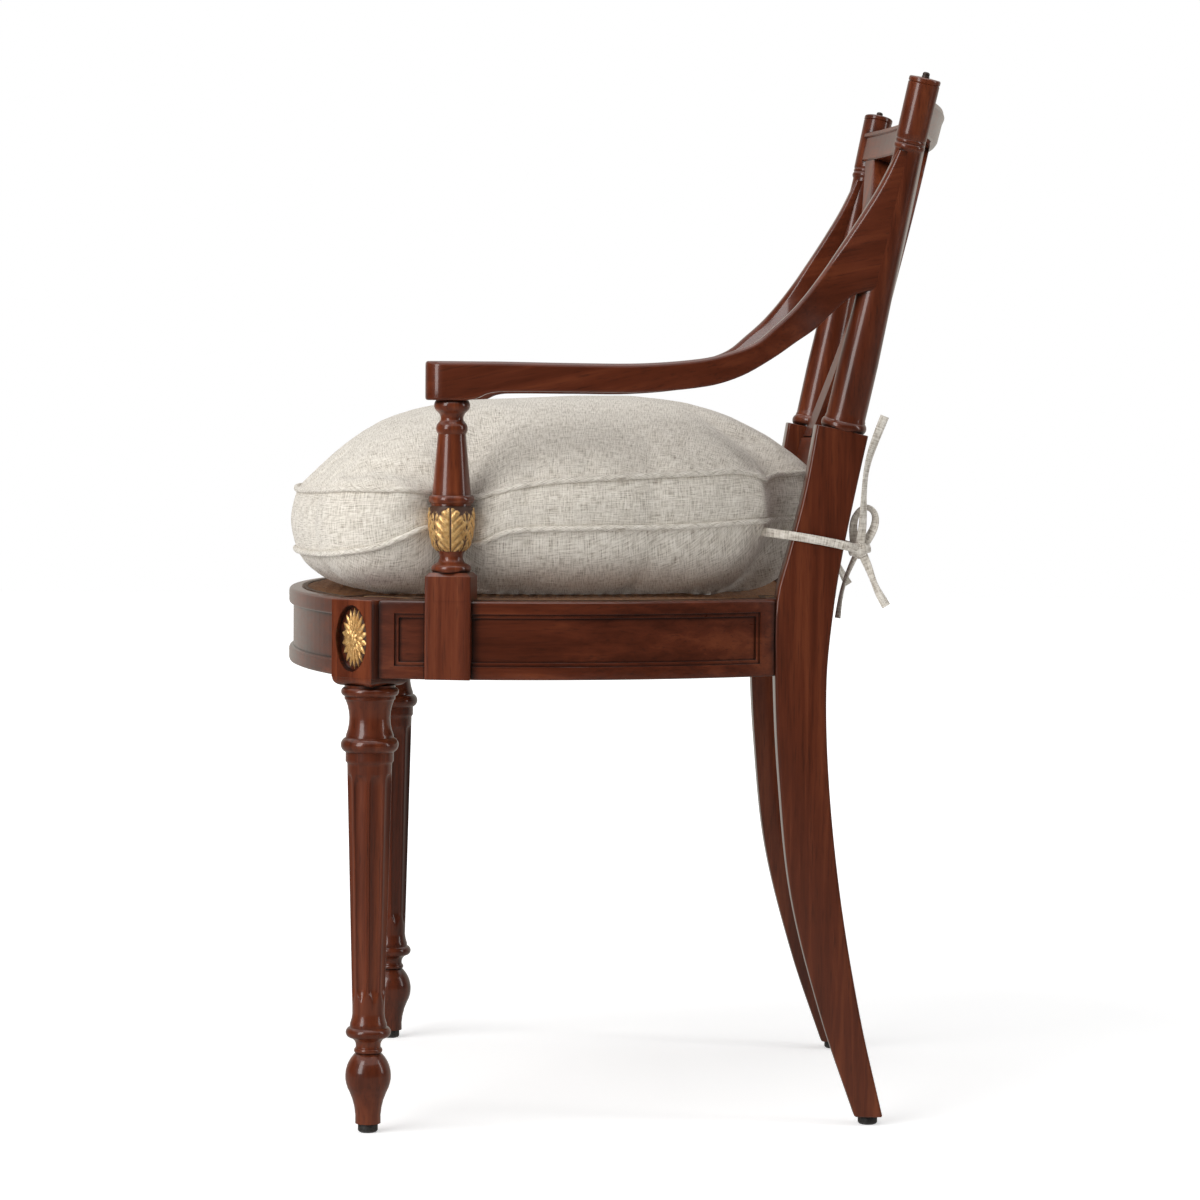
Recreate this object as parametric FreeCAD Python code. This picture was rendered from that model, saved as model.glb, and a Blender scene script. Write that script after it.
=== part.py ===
import FreeCAD, Part
import math
import os

# An open armchair in the Sheraton manner: turned and fluted front legs, sabre back legs,
# a bowed caned seat, a lattice back, sweeping arms on turned supports and a loose tied cushion.
# Millimetres. +X is the sitter's left, +Y the back, +Z up. The origin is on the floor,
# under the middle of the frame.

os.makedirs("parts", exist_ok=True)
V = FreeCAD.Vector
UP = V(0, 0, 1)

# Clearances of the joinery
glue_gap = 0.1

# How far the curve of a turning, a moulding or the cushion may bend from one flat to the next, in degrees
turning_step = 60.0
moulding_step = 45.0
sewing_step = 15.0

# Seat frame
seat_height = 473.5
rail_height = 69.0
rail_thickness = 28.0
rail_bottom = seat_height - rail_height
band_height = 15.0
band_step = 4.0
front_bow_y = -304.4
front_bow_half = 245.0
front_bow_rise = 58.8
side_front = (274.0, -209.0)
side_back = (212.0, 137.4)
side_bulge = 34.0
back_rail_y = 180.0
rim_width = 12.0
spline_width = 5.0
spline_depth = 6.0
spline_proud = 0.6
cane_thickness = 2.0
groove_margin = 8.0
tenon_thickness = 10.0
tenon_height = 46.0
tenon_length = 14.0

# Front legs
front_leg_x = 247.0
front_leg_y = -217.6
leg_block = 48.5
leg_block_turn = -41.0
leg_block_drop = 7.5
glide_diameter = 17.7
glide_height = 8.0
flute_count = 8
patera_height = 58.6
patera_width = 37.0
patera_sink = 5.0
patera_leaves = 18

# Back posts
post_width = 40.0
foot_width = 27.0
post_x = 190.8
foot_x = 198.0
joint_y = 201.2
joint_z = seat_height + 150.5
rake = math.degrees(math.atan(0.2145))
splay = 0.1089
shaft_radius = 17.8
neck_radius = 12.4
capital_radius = 13.75
capital_top = 319.8
pin_head = 5.6
pin_shank = 3.0
pin_rise = 5.4

# Back rails and lattice
back_radius = 840.0
back_set = 9.3
panel_lean = 1.65
crest_low = capital_top - 43.4
crest_height = 29.0
crest_slope = 3.5
crest_end = 8.0
crest_thickness = 22.0
crest_lip = 2.0
low_rail_top = -6.0
low_rail_height = 37.0
low_rail_thickness = 20.0
bar_width = 24.0
bar_thickness = 16.5
bar_set = 1.0
bar_tenon = 8.0
bar_stub = 8.0
bar_shoulder = 10.0
bar_gap = 2.4

# Arms and their supports
support_x = 268.0
support_y = -146.2
support_turn = -9.0
block_depth = 35.0
block_width = 40.5
block_rise = 24.5
block_top = seat_height + block_rise
block_tongue = 12.5
arm_rise = 174.5
arm_underside = seat_height + arm_rise
arm_thickness = 34.0
arm_tenon_diameter = 14.0
arm_tenon_length = 16.0
arm_easing = 4.0
leaf_count = 8

# Cushion and its ties
cushion_rest = 0.2
cushion_bottom = seat_height + cushion_rest
cushion_top = cushion_bottom + 178.3
lower_welt = cushion_bottom + 62.3
upper_welt = cushion_bottom + 104.3
tie_rise = 44.0
tape_width = 8.0
tape_thickness = 2.0
knot_size = 15.0
knot_easing = 4.0


def chain(points, place, step=None):
    """Edges through points: a pair is a straight run, four numbers are an arc by its middle.
    With a step in degrees an arc is worked in flats that turn by no more than that."""
    edges = []
    here = place(*points[0])
    for stop in points[1:]:
        there = place(*stop[-2:])
        if len(stop) == 2:
            edges.append(Part.LineSegment(here, there).toShape())
        elif step is None:
            edges.append(Part.Arc(here, place(*stop[:2]), there).toShape())
        else:
            arc = Part.Arc(here, place(*stop[:2]), there)
            turn = arc.LastParameter - arc.FirstParameter
            flats = max(2, math.ceil(math.degrees(turn) / step))
            marks = [arc.value(arc.FirstParameter + turn * index / flats) for index in range(1, flats)]
            for first, last in zip([here] + marks, marks + [there]):
                edges.append(Part.LineSegment(first, last).toShape())
        here = there
    return edges


def upright(radius, height):
    """A point of a turning's half outline."""
    return V(radius, 0, height)


def turned(outline):
    """Solid of revolution about Z from a half outline that starts and ends on the axis."""
    closed = outline + [outline[0]]
    face = Part.Face(Part.Wire(chain(closed, upright, turning_step)))
    return face.revolve(V(0, 0, 0), UP, 360)


def swept(outline, centre, start, sweep):
    """A rail bent round an upright axis at a plan centre, from an outline of radius and height."""
    closed = outline + [outline[0]]
    face = Part.Face(Part.Wire(chain(closed, upright, moulding_step)))
    rail = face.revolve(V(0, 0, 0), UP, sweep)
    rail.rotate(V(0, 0, 0), UP, start)
    rail.translate(V(centre[0], centre[1], 0))
    return rail


def box_at(length, width, height, centre, turn=0.0):
    """An upright box by its plan centre and lower face, turned in plan."""
    box = Part.makeBox(length, width, height, V(-length / 2, -width / 2, 0))
    box.rotate(V(0, 0, 0), UP, turn)
    box.translate(V(*centre))
    return box


def mirrored(shape):
    """The same piece for the other side of the chair."""
    return shape.mirror(V(0, 0, 0), V(1, 0, 0))


def biggest(shape):
    """The main solid of a cut, without slivers."""
    return max(shape.Solids, key=lambda solid: solid.Volume)


def bow(first, last, rise):
    """Plan centre and radius of an arc over a chord, bulging to the right of its direction."""
    run = math.hypot(last[0] - first[0], last[1] - first[1])
    radius = (run * run / 4 + rise * rise) / (2 * rise)
    across = ((last[1] - first[1]) / run, (first[0] - last[0]) / run)
    middle = ((first[0] + last[0]) / 2, (first[1] + last[1]) / 2)
    back = radius - rise
    return (middle[0] - across[0] * back, middle[1] - across[1] * back), radius


def bearing(centre, point):
    """Plan angle of a point seen from a centre, in degrees."""
    return math.degrees(math.atan2(point[1] - centre[1], point[0] - centre[0]))


def raked(shape, more=0.0):
    """Lean a piece of the back, drawn upright about the joint of the posts."""
    placed = shape.copy()
    turn = FreeCAD.Rotation(V(1, 0, 0), -rake - more)
    placed.Placement = FreeCAD.Placement(V(0, joint_y, joint_z), turn)
    return placed


def export(name, shape):
    """Write one piece under its name."""
    shape.exportStep("parts/%s.step" % name)


def both(name, shape):
    """Write a piece of the left side and its twin of the right side."""
    export("left_" + name, shape)
    export("right_" + name, mirrored(shape))


# Plan of the seat: one bow in front, one along each side, a straight back
front_first = (-front_bow_half, front_bow_y + front_bow_rise)
front_last = (front_bow_half, front_bow_y + front_bow_rise)
front_centre, front_radius = bow(front_first, front_last, front_bow_rise)
side_centre, side_radius = bow(side_front, side_back, side_bulge)


def seat_prism(inset, low, high):
    """The seat's plan, drawn in by an inset and standing between two heights."""
    tall = high - low
    left = V(side_centre[0], side_centre[1], low)
    right = V(-side_centre[0], side_centre[1], low)
    solid = Part.makeCylinder(front_radius - inset, tall, V(front_centre[0], front_centre[1], low))
    solid = solid.common(Part.makeCylinder(side_radius - inset, tall, left))
    solid = solid.common(Part.makeCylinder(side_radius - inset, tall, right))
    reach = 2 * front_radius
    room = Part.makeBox(reach, reach, tall, V(-reach / 2, back_rail_y - inset - reach, low))
    return solid.common(room)


# Front leg: turned, fluted, with a square block set cornerwise under the seat's top
block_low = rail_bottom - leg_block_drop
face_x = math.cos(math.radians(leg_block_turn))
face_y = math.sin(math.radians(leg_block_turn))
shaft_low = 110.0
shaft_high = block_low - 69
shaft_low_radius = 14.25
shaft_high_radius = 19.75
leg_outline = [
    (0, glide_height),
    (11.3, glide_height),
    (12.2, 23, 16.4, 36),
    (20.1, 53, 12.6, 69.5),
    (11.2, 70.5),
    (12.6, 73, 11.2, 75.5),
    (11.4, 80, 16.2, 84.5),
    (20.0, 89.4, 16.4, 94.0),
    (16.2, 97.0),
    (14.7, 102, shaft_low_radius, shaft_low),
    (shaft_high_radius, shaft_high),
    (21.2, block_low - 67),
    (21.2, block_low - 59),
    (25.5, block_low - 52.5, 21.2, block_low - 46),
    (21.0, block_low - 44),
    (18.1, block_low - 30, 21.4, block_low - 13),
    (22.4, block_low - 12),
    (22.4, block_low - 9.5),
    (25.4, block_low - 5.5, 22.4, block_low - 1.5),
    (22.4, block_low + 0.5),
    (0, block_low + 0.5),
]
front_leg = turned(leg_outline)
flute_low = shaft_low + 8
flute_high = shaft_high - 12
slope = (shaft_high_radius - shaft_low_radius) / (shaft_high - shaft_low)


def shaft_at(height):
    """Radius of the fluted shaft at a height."""
    return shaft_low_radius + slope * (height - shaft_low)


def flute_section(height):
    """The trough of one flute at a height: a flat floor and two sloping sides."""
    radius = shaft_at(height)
    floor = 0.16 * radius
    mouth = 0.34 * radius
    deep = radius - 0.17 * radius
    wide = radius + 3
    corners = [V(wide, -mouth, height), V(deep, -floor, height)]
    corners += [V(deep, floor, height), V(wide, mouth, height)]
    return Part.makePolygon(corners + corners[:1])


flute = Part.makeLoft([flute_section(flute_low), flute_section(flute_high)], True, True)
for index in range(flute_count):
    cutter = flute.copy()
    cutter.rotate(V(0, 0, 0), UP, (index + 0.5) * 360.0 / flute_count)
    front_leg = front_leg.cut(cutter)
front_leg.translate(V(front_leg_x, front_leg_y, 0))

block_place = (front_leg_x, front_leg_y, block_low)
block = box_at(leg_block, leg_block, seat_height - block_low, block_place, leg_block_turn)
for quarter in range(4):
    turn = leg_block_turn + 90 * quarter
    cove = Part.makeCylinder(leg_block_drop, 2 * leg_block, V(leg_block / 2, leg_block, 0), V(0, -1, 0))
    cove.rotate(V(0, 0, 0), UP, turn)
    cove.translate(V(*block_place))
    block = block.cut(cove)
patera_middle = V(front_leg_x + face_x * leg_block / 2, front_leg_y + face_y * leg_block / 2, 0)
patera_middle.z = (seat_height + rail_bottom) / 2
outward = V(face_x, face_y, 0)
sideways = V(-face_y, face_x, 0)


def oval(tall, wide, depth_from, depth_to):
    """An upright oval prism on the block's outer face, between two depths below it."""
    middle = patera_middle - outward * depth_to
    ring = Part.Ellipse(middle + UP * (tall / 2), middle + sideways * (wide / 2), middle)
    return Part.Face(Part.Wire(ring.toShape())).extrude(outward * (depth_to - depth_from))


block = block.cut(oval(patera_height, patera_width, -1, patera_sink))
front_leg = front_leg.fuse(block).removeSplitter()

# Gilt patera: two rings of pointed leaves and a boss, on the floor of the sunk oval
patera_tall = patera_height - 4
patera_wide = patera_width - 6


def leaf_star(scale, turn, depth_from, depth_to):
    """A ring of pointed leaves as one star, between two depths below the block's face."""
    middle = patera_middle - outward * depth_to
    corners = []
    for index in range(2 * patera_leaves):
        angle = math.pi * (index + turn) / patera_leaves
        reach = scale if index % 2 == 0 else 0.8 * scale
        high = UP * (reach * patera_tall / 2 * math.cos(angle))
        wide = sideways * (reach * patera_wide / 2 * math.sin(angle))
        corners.append(middle + high + wide)
    corners.append(corners[0])
    return Part.Face(Part.makePolygon(corners)).extrude(outward * (depth_to - depth_from))


patera = leaf_star(1.0, 0, patera_sink - 1.8, patera_sink)
patera = patera.fuse(leaf_star(0.66, 1, patera_sink - 3.4, patera_sink - 1.8))
patera = patera.fuse(leaf_star(0.26, 0, patera_sink - 4.8, patera_sink - 3.4))

# Back post: a sabre leg and square post, sawn to one outline from the side and one from the front
# Height, front edge, back edge
post_edges = [
    (glide_height, 217.5, 242.7),
    (0.2027 * seat_height, 187.0, 222.0),
    (0.4308 * seat_height, 159.0, 202.9),
    (0.6568 * seat_height, 146.8, 191.1),
    (0.8469 * seat_height, 141.9, 188.2),
    (seat_height - 1.5, 142.2, 194.6),
    (seat_height + 38.5, 152.0, 200.8),
    (seat_height + 91.5, 166.0, 211.0),
    (seat_height + 166.5, 179.6, 226.0),
]


def through(points):
    """A smooth edge through points."""
    curve = Part.BSplineCurve()
    curve.interpolate(points)
    return curve.toShape()


near = [V(0, front, height) for height, front, back in post_edges]
far = [V(0, back, height) for height, front, back in reversed(post_edges)]
lines = [through(near), Part.makeLine(near[-1], far[0]), through(far), Part.makeLine(far[-1], near[0])]
side_view = Part.Face(Part.Wire(lines)).extrude(V(2 * post_x, 0, 0))
top_z = post_edges[-1][0]
front_corners = [
    V(foot_x - foot_width / 2, 0, glide_height),
    V(foot_x + foot_width / 2, 0, glide_height),
    V(post_x + post_width / 2, 0, rail_bottom),
    V(post_x + post_width / 2, 0, top_z),
    V(post_x - post_width / 2, 0, top_z),
    V(post_x - post_width / 2, 0, rail_bottom),
]
front_view = Part.Face(Part.makePolygon(front_corners + front_corners[:1]))
front_view = front_view.extrude(V(0, 2 * front_radius, 0))
square_post = side_view.common(front_view)
long_edges = [edge for edge in square_post.Edges if edge.BoundBox.ZLength > 100]
square_post = square_post.makeChamfer(2.0, long_edges)
lid = raked(Part.makeBox(3 * post_x, 4 * post_width, 4 * post_width, V(0, -2 * post_width, 0)))
square_post = square_post.cut(lid)

# Turned upper post: a base ring, a tapered shaft, a neck ring and a plain capital
post_outline = [
    (0, -12),
    (15.0, -12),
    (15.0, 0),
    (18.4, 0),
    (20.6, 4.8, 18.4, 9.4),
    (shaft_radius + 0.6, 10.6),
    (shaft_radius, 12.5),
    (shaft_radius - 0.1, 63),
    (neck_radius, 254),
    (neck_radius + 0.2, 255.5),
    (neck_radius + 1.3, 258.2, neck_radius + 0.3, 261),
    (neck_radius + 0.9, 262.8, neck_radius + 0.5, 264.6),
    (capital_radius, 265.8),
    (capital_radius + 0.3, capital_top - 5.4),
    (capital_radius - 0.4, capital_top - 4.7),
    (capital_radius + 0.4, capital_top - 4.0),
    (capital_radius + 0.4, capital_top - 1.8),
    (capital_radius - 0.1, capital_top - 0.5, capital_radius - 1.4, capital_top),
    (0, capital_top + 0.8),
]


def along_post(shape):
    """Set a turning on the leaning, splayed axis of the left post."""
    placed = shape.copy()
    spin = FreeCAD.Rotation(V(0, 1, 0), math.degrees(math.atan(splay)))
    lean = FreeCAD.Rotation(V(1, 0, 0), -rake)
    placed.Placement = FreeCAD.Placement(V(post_x, joint_y, joint_z), lean.multiply(spin))
    return placed


round_post = along_post(turned(post_outline))
back_post = square_post.fuse(round_post)
pin_outline = [
    (0, capital_top - 10),
    (pin_shank / 2, capital_top - 10),
    (pin_shank / 2, capital_top + 0.8),
    (pin_head / 2, capital_top + 0.8),
    (pin_head / 2, capital_top + pin_rise - 2),
    (pin_head / 4, capital_top + pin_rise),
    (0, capital_top + pin_rise),
]
finial_pin = along_post(turned(pin_outline))
post_bare = back_post.copy()
back_post = back_post.cut(finial_pin)

# Crest rail, lower rail and lattice, drawn upright and then raked, a little more than the posts.
# Their bow lies level in the finished back, so its axis leans forward while they are upright.
back_axis = back_set - back_radius
back_lean = math.radians(rake + panel_lean)
bow_axis = V(0, -math.sin(back_lean), math.cos(back_lean))
bow_middle = V(0, back_set - back_radius * math.cos(back_lean), crest_low - back_radius * math.sin(back_lean))


def on_middle(radius, height):
    """A point of a back rail's outline in the middle plane of the chair."""
    return V(0, back_axis + radius, height)


def back_rail(outline, half_width):
    """A rail of the back bent round the bow's axis, wide enough to reach both posts."""
    low_radius = back_radius - crest_low * math.sin(back_lean)
    reach = math.degrees(math.asin(half_width / low_radius))
    face = Part.Face(Part.Wire(chain(outline + outline[:1], on_middle, moulding_step)))
    face.rotate(bow_middle, bow_axis, -reach)
    return face.revolve(bow_middle, bow_axis, 2 * reach)


def bow_sag(deep, high, reach):
    """How far the bow has come forward, level, at a reach from the middle."""
    radius = back_radius + (deep - back_set) * math.cos(back_lean) + (high - crest_low) * math.sin(back_lean)
    return radius - math.sqrt(radius ** 2 - reach ** 2)


crest_high = crest_low + crest_height
crest_back = back_radius + crest_thickness
crest_outline = [
    (back_radius, crest_low + 1.5),
    (back_radius + 1.5, crest_low),
    (crest_back - 4, crest_low),
    (crest_back - 1.2, crest_low + 1.2, crest_back, crest_low + 4),
    (crest_back, crest_high - 8),
    (crest_back - 1.8, crest_high + crest_slope - 1.8, crest_back - 6, crest_high + crest_slope),
    (back_radius - crest_lip + 1, crest_high),
    (back_radius - crest_lip, crest_high - 1),
    (back_radius - crest_lip, crest_high - 4),
    (back_radius, crest_high - 5.5),
]
crest = back_rail(crest_outline, post_x + splay * crest_high)
low_rail_bottom = low_rail_top - low_rail_height
low_back = back_radius + low_rail_thickness
low_outline = [
    (back_radius, low_rail_bottom + 1.5),
    (back_radius + 1.5, low_rail_bottom),
    (low_back - 1.5, low_rail_bottom),
    (low_back, low_rail_bottom + 1.5),
    (low_back, low_rail_top - 3),
    (low_back - 0.9, low_rail_top - 0.9, low_back - 3, low_rail_top),
    (back_radius + 2, low_rail_top),
    (back_radius, low_rail_top - 2),
]
low_rail = back_rail(low_outline, post_x)


def back_shell(near, far, low, high):
    """A bent board of the back between two radii and two heights."""
    ring = [(near, low), (far, low), (far, high), (near, high)]
    return back_rail(ring, post_x + splay * crest_high)


def bar_prism(foot, head, low, high, width):
    """A straight slanting prism right through the back, between its foot and head in the plane."""
    run = V(head[0] - foot[0], 0, head[1] - foot[1])
    start = V(foot[0], 0, foot[1])
    side = V(run.z, 0, -run.x).normalize() * (width / 2)
    first = start + run * ((low - foot[1]) / (head[1] - foot[1]) - 0.2)
    last = start + run * ((high - foot[1]) / (head[1] - foot[1]) + 0.2)
    corners = [first - side, first + side, last + side, last - side, first - side]
    deep = 3 * crest_thickness + back_set
    prism = Part.Face(Part.makePolygon(corners)).extrude(V(0, 4 * deep, 0))
    prism.translate(V(0, -2 * deep, 0))
    return prism


bar_near = back_radius + bar_set
bar_far = bar_near + bar_thickness
bar_middle = (bar_near + bar_far) / 2
post_inner_low = post_x - post_width / 2
post_inner_high = post_x + splay * crest_low - capital_radius
lattice_rise = crest_low - low_rail_top
slant = math.atan((post_inner_high - 1.2 * bar_width) / lattice_rise)
half_bar = bar_width / 2 / math.cos(slant)
outer_bar_ends = ((post_inner_low - half_bar - bar_gap, low_rail_top), (half_bar + bar_gap / 2, crest_low))
inner_bar_ends = ((half_bar + bar_gap / 2, low_rail_top), (post_inner_high - half_bar - bar_gap, crest_low))


def lattice_bar(ends, clear):
    """One bar between the rails, with a tongue at each end, eased by a clearance."""
    foot, head = ends
    body = back_shell(bar_near, bar_far, low_rail_top, crest_low)
    body = body.common(bar_prism(foot, head, low_rail_top, crest_low, bar_width))
    thin = bar_tenon / 2 + clear
    low = low_rail_top - bar_stub - clear
    high = crest_low + bar_stub + clear
    tongue = back_shell(bar_middle - thin, bar_middle + thin, low, high)
    tongue = tongue.common(bar_prism(foot, head, low, high, bar_width - bar_shoulder + 2 * clear))
    return body.fuse(tongue).removeSplitter()


outer_bar = lattice_bar(outer_bar_ends, 0)
inner_bar = lattice_bar(inner_bar_ends, 0)
mortises = []
for ends in (outer_bar_ends, inner_bar_ends):
    eased = lattice_bar(ends, glue_gap)
    mortises.append(eased)
    mortises.append(mirrored(eased))
for mortise in mortises:
    crest = crest.cut(mortise)
    low_rail = low_rail.cut(mortise)

# The bars are halved where they cross, so that their faces run through
front_half = back_shell(bar_near - 5, bar_middle, low_rail_bottom, crest_high)
rear_half = back_shell(bar_middle, bar_far + 5, low_rail_bottom, crest_high)
crossing_of_inner = bar_prism(inner_bar_ends[0], inner_bar_ends[1], low_rail_top, crest_low, bar_width)
crossing_of_outer = bar_prism(outer_bar_ends[0], outer_bar_ends[1], low_rail_top, crest_low, bar_width)
outer_bar = outer_bar.cut(crossing_of_inner.common(front_half))
inner_bar = inner_bar.cut(crossing_of_outer.common(rear_half))

# Both rails are scribed to the posts and tenoned into them
crest_raked = raked(crest, panel_lean)
low_raked = raked(low_rail, panel_lean)
crest_tenon_middle = crest_low + crest_height / 2
crest_post_x = post_x + splay * crest_tenon_middle


def rail_tenon(reach, height, length, thickness, clear, deep):
    """A tenon from a back rail into the left post, along X, eased by a clearance."""
    sag = bow_sag(deep, (height[0] + height[1]) / 2, reach)
    tall = height[1] - height[0] + 2 * clear
    thick = thickness + 2 * clear
    offset = deep - sag * math.cos(back_lean)
    corner = V(reach - 40, offset - thick / 2, height[0] - clear - sag * math.sin(back_lean))
    return raked(Part.makeBox(40 + length + clear, thick, tall, corner), panel_lean)


crest_tenon = (crest_low + 6, crest_high - 7)
low_tenon = (low_rail_bottom + 5, low_rail_top - 5)
crest_deep = back_set + crest_thickness / 2
low_deep = back_set + low_rail_thickness / 2
crest_face = crest_post_x - capital_radius
low_face = post_x - post_width / 2
# The crest stops inside the line of the posts, so that none of it stands in front of them
crest_room = box_at(2 * (crest_face + crest_end), back_radius, 2 * back_radius, (0, joint_y, 0))
crest_raked = biggest(crest_raked.common(crest_room).cut(post_bare).cut(mirrored(post_bare)))
low_raked = biggest(low_raked.cut(post_bare).cut(mirrored(post_bare)))
crest_peg = rail_tenon(crest_face, crest_tenon, 11, 7, 0, crest_deep).common(post_bare)
low_peg = rail_tenon(low_face, low_tenon, 15, 9, 0, low_deep).common(post_bare)
crest_raked = crest_raked.fuse(crest_peg).fuse(mirrored(crest_peg)).removeSplitter()
low_raked = low_raked.fuse(low_peg).fuse(mirrored(low_peg)).removeSplitter()
back_post = back_post.cut(rail_tenon(crest_face, crest_tenon, 11, 7, glue_gap, crest_deep))
back_post = back_post.cut(rail_tenon(low_face, low_tenon, 15, 9, glue_gap, low_deep))

# Seat rails: moulded outlines bent round the plan's bows, scribed to blocks and posts
inner = rail_thickness
band_low = rail_bottom + band_height
band_high = seat_height - band_height


def plain_rail(radius):
    """Outline of a side rail before its sunk panels."""
    return [
        (radius - inner, rail_bottom),
        (radius - 2, rail_bottom),
        (radius - 0.6, rail_bottom + 0.6, radius, rail_bottom + 2),
        (radius, seat_height - 3.5),
        (radius - 1.0, seat_height - 1.0, radius - 3.5, seat_height),
        (radius - inner, seat_height),
    ]


front_outline = [
    (front_radius - inner, rail_bottom),
    (front_radius - 3, rail_bottom),
    (front_radius - 0.9, rail_bottom + 0.9, front_radius, rail_bottom + 3),
    (front_radius, band_low - 3),
    (front_radius - 0.9, band_low - 0.9, front_radius - 3, band_low),
    (front_radius - band_step, band_low),
    (front_radius - band_step, band_high),
    (front_radius - 2.5, band_high),
    (front_radius - 0.7, band_high + 0.7, front_radius, band_high + 2.5),
    (front_radius, seat_height - 3.5),
    (front_radius - 1.0, seat_height - 1.0, front_radius - 3.5, seat_height),
    (front_radius - inner, seat_height),
]
front_end = math.degrees(math.asin((front_leg_x + 11) / front_radius))
front_rail = swept(front_outline, front_centre, -90 - front_end, 2 * front_end)
side_start = bearing(side_centre, (side_front[0] - 3, side_front[1] - 17))
side_stop = bearing(side_centre, (side_back[0] - 19, side_back[1] + 28))
side_rail = swept(plain_rail(side_radius), side_centre, side_start, side_stop - side_start)

# The sunk panels lie between block and support and between support and post
support_bearing = bearing(side_centre, (support_x, support_y))
panel_gap = math.degrees((block_width / 2 + 1.0) / side_radius)
block_edge = bearing(side_centre, (side_front[0], side_front[1] + 3))
post_edge = bearing(side_centre, (side_back[0], side_back[1]))
stile = math.degrees(11.0 / side_radius)


def sunk_panel(first, last):
    """Cutter for a panel with a narrow outer step and a deeper field."""
    step = math.degrees(3.5 / side_radius)
    shallow = [
        (side_radius - 1.6, band_low - 3.5),
        (side_radius + 2, band_low - 3.5),
        (side_radius + 2, band_high + 3.5),
        (side_radius - 1.6, band_high + 3.5),
    ]
    deep = [
        (side_radius - 3.4, band_low),
        (side_radius + 2, band_low),
        (side_radius + 2, band_high),
        (side_radius - 3.4, band_high),
    ]
    cutter = swept(shallow, side_centre, first, last - first)
    return cutter.fuse(swept(deep, side_centre, first + step, last - first - 2 * step))


front_panel = sunk_panel(block_edge + stile, support_bearing + panel_gap * 0.2)
rear_panel = sunk_panel(support_bearing - panel_gap * 0.2, post_edge - stile)
side_rail = side_rail.cut(front_panel).cut(rear_panel)

out_to = 60.0
prism_corner = V(-leg_block / 2, -leg_block / 2, 0)
corner_prism = Part.makeBox(leg_block / 2 + out_to, leg_block, rail_height + 40, prism_corner)
corner_prism.rotate(V(0, 0, 0), UP, leg_block_turn)
corner_prism.translate(V(front_leg_x, front_leg_y, rail_bottom - 20))
front_rail = biggest(front_rail.cut(corner_prism).cut(mirrored(corner_prism)))
side_rail = biggest(side_rail.cut(corner_prism).cut(post_bare))
back_rail_box = Part.makeBox(2 * post_x, inner, rail_height, V(-post_x, back_rail_y - inner, rail_bottom))
seat_back_rail = biggest(back_rail_box.cut(post_bare).cut(mirrored(post_bare)))

# Tenons of the seat rails
tenon_low = rail_bottom + (rail_height - tenon_height) / 2 - 4


def block_tenon(turn, clear):
    """A tenon square to a face of the leg block, with a root in the rail."""
    depth = tenon_length + clear
    long = depth + 8
    away = leg_block / 2 - depth + long / 2
    angle = math.radians(turn)
    middle = (front_leg_x + math.cos(angle) * away, front_leg_y + math.sin(angle) * away, tenon_low - clear)
    return box_at(long, tenon_thickness + 2 * clear, tenon_height + 2 * clear, middle, turn)


def post_tenon(clear):
    """The side rail's tenon into the front of the post."""
    long = 30 + clear
    middle = (post_x + 2, 127 + long / 2, tenon_low - clear)
    return box_at(tenon_thickness + 2 * clear, long, tenon_height + 2 * clear, middle)


def back_tenon(clear):
    """The back rail's tenon into the inner face of the post."""
    long = 24 + clear
    middle = (post_inner_low - 10 + long / 2, back_rail_y - inner / 2 + 3, tenon_low - clear)
    return box_at(long, 9 + 2 * clear, tenon_height + 2 * clear, middle)


front_turn = leg_block_turn - 90
side_turn = leg_block_turn + 90
front_peg = block_tenon(front_turn, 0)
front_rail = front_rail.fuse(front_peg).fuse(mirrored(front_peg)).removeSplitter()
side_rail = side_rail.fuse(block_tenon(side_turn, 0)).fuse(post_tenon(0)).removeSplitter()
seat_back_rail = seat_back_rail.fuse(back_tenon(0)).fuse(mirrored(back_tenon(0))).removeSplitter()
front_leg = front_leg.cut(block_tenon(front_turn, glue_gap)).cut(block_tenon(side_turn, glue_gap))
back_post = back_post.cut(post_tenon(glue_gap)).cut(back_tenon(glue_gap))

# Corner blocks glued inside the frame, level with its top
corner_low = rail_bottom + 14
inside = seat_prism(rail_thickness, corner_low, seat_height)
front_brace = 28.0
brace_length = 200.0
front_corner = Part.makeBox(front_brace, brace_length, rail_height, V(leg_block / 2, -brace_length / 2, 0))
front_corner.rotate(V(0, 0, 0), UP, leg_block_turn + 180)
front_corner.translate(V(front_leg_x, front_leg_y, corner_low))
front_corner = biggest(front_corner.common(inside))
post_face_y = 142.0
rear_brace = 90.0
rear_corner = box_at(rear_brace, 1.5 * brace_length, rail_height, (rear_brace / 2, 0, 0))
rear_corner.rotate(V(0, 0, 0), UP, 45)
rear_corner.translate(V(post_inner_low - 24, post_face_y - 24, corner_low))
rear_corner = biggest(rear_corner.common(inside).cut(post_bare).cut(side_rail).cut(seat_back_rail))

# Cane seat: a groove round the frame, the woven panel in a shallow rabbet, and a reed spline
groove_low = seat_height - spline_depth


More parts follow.
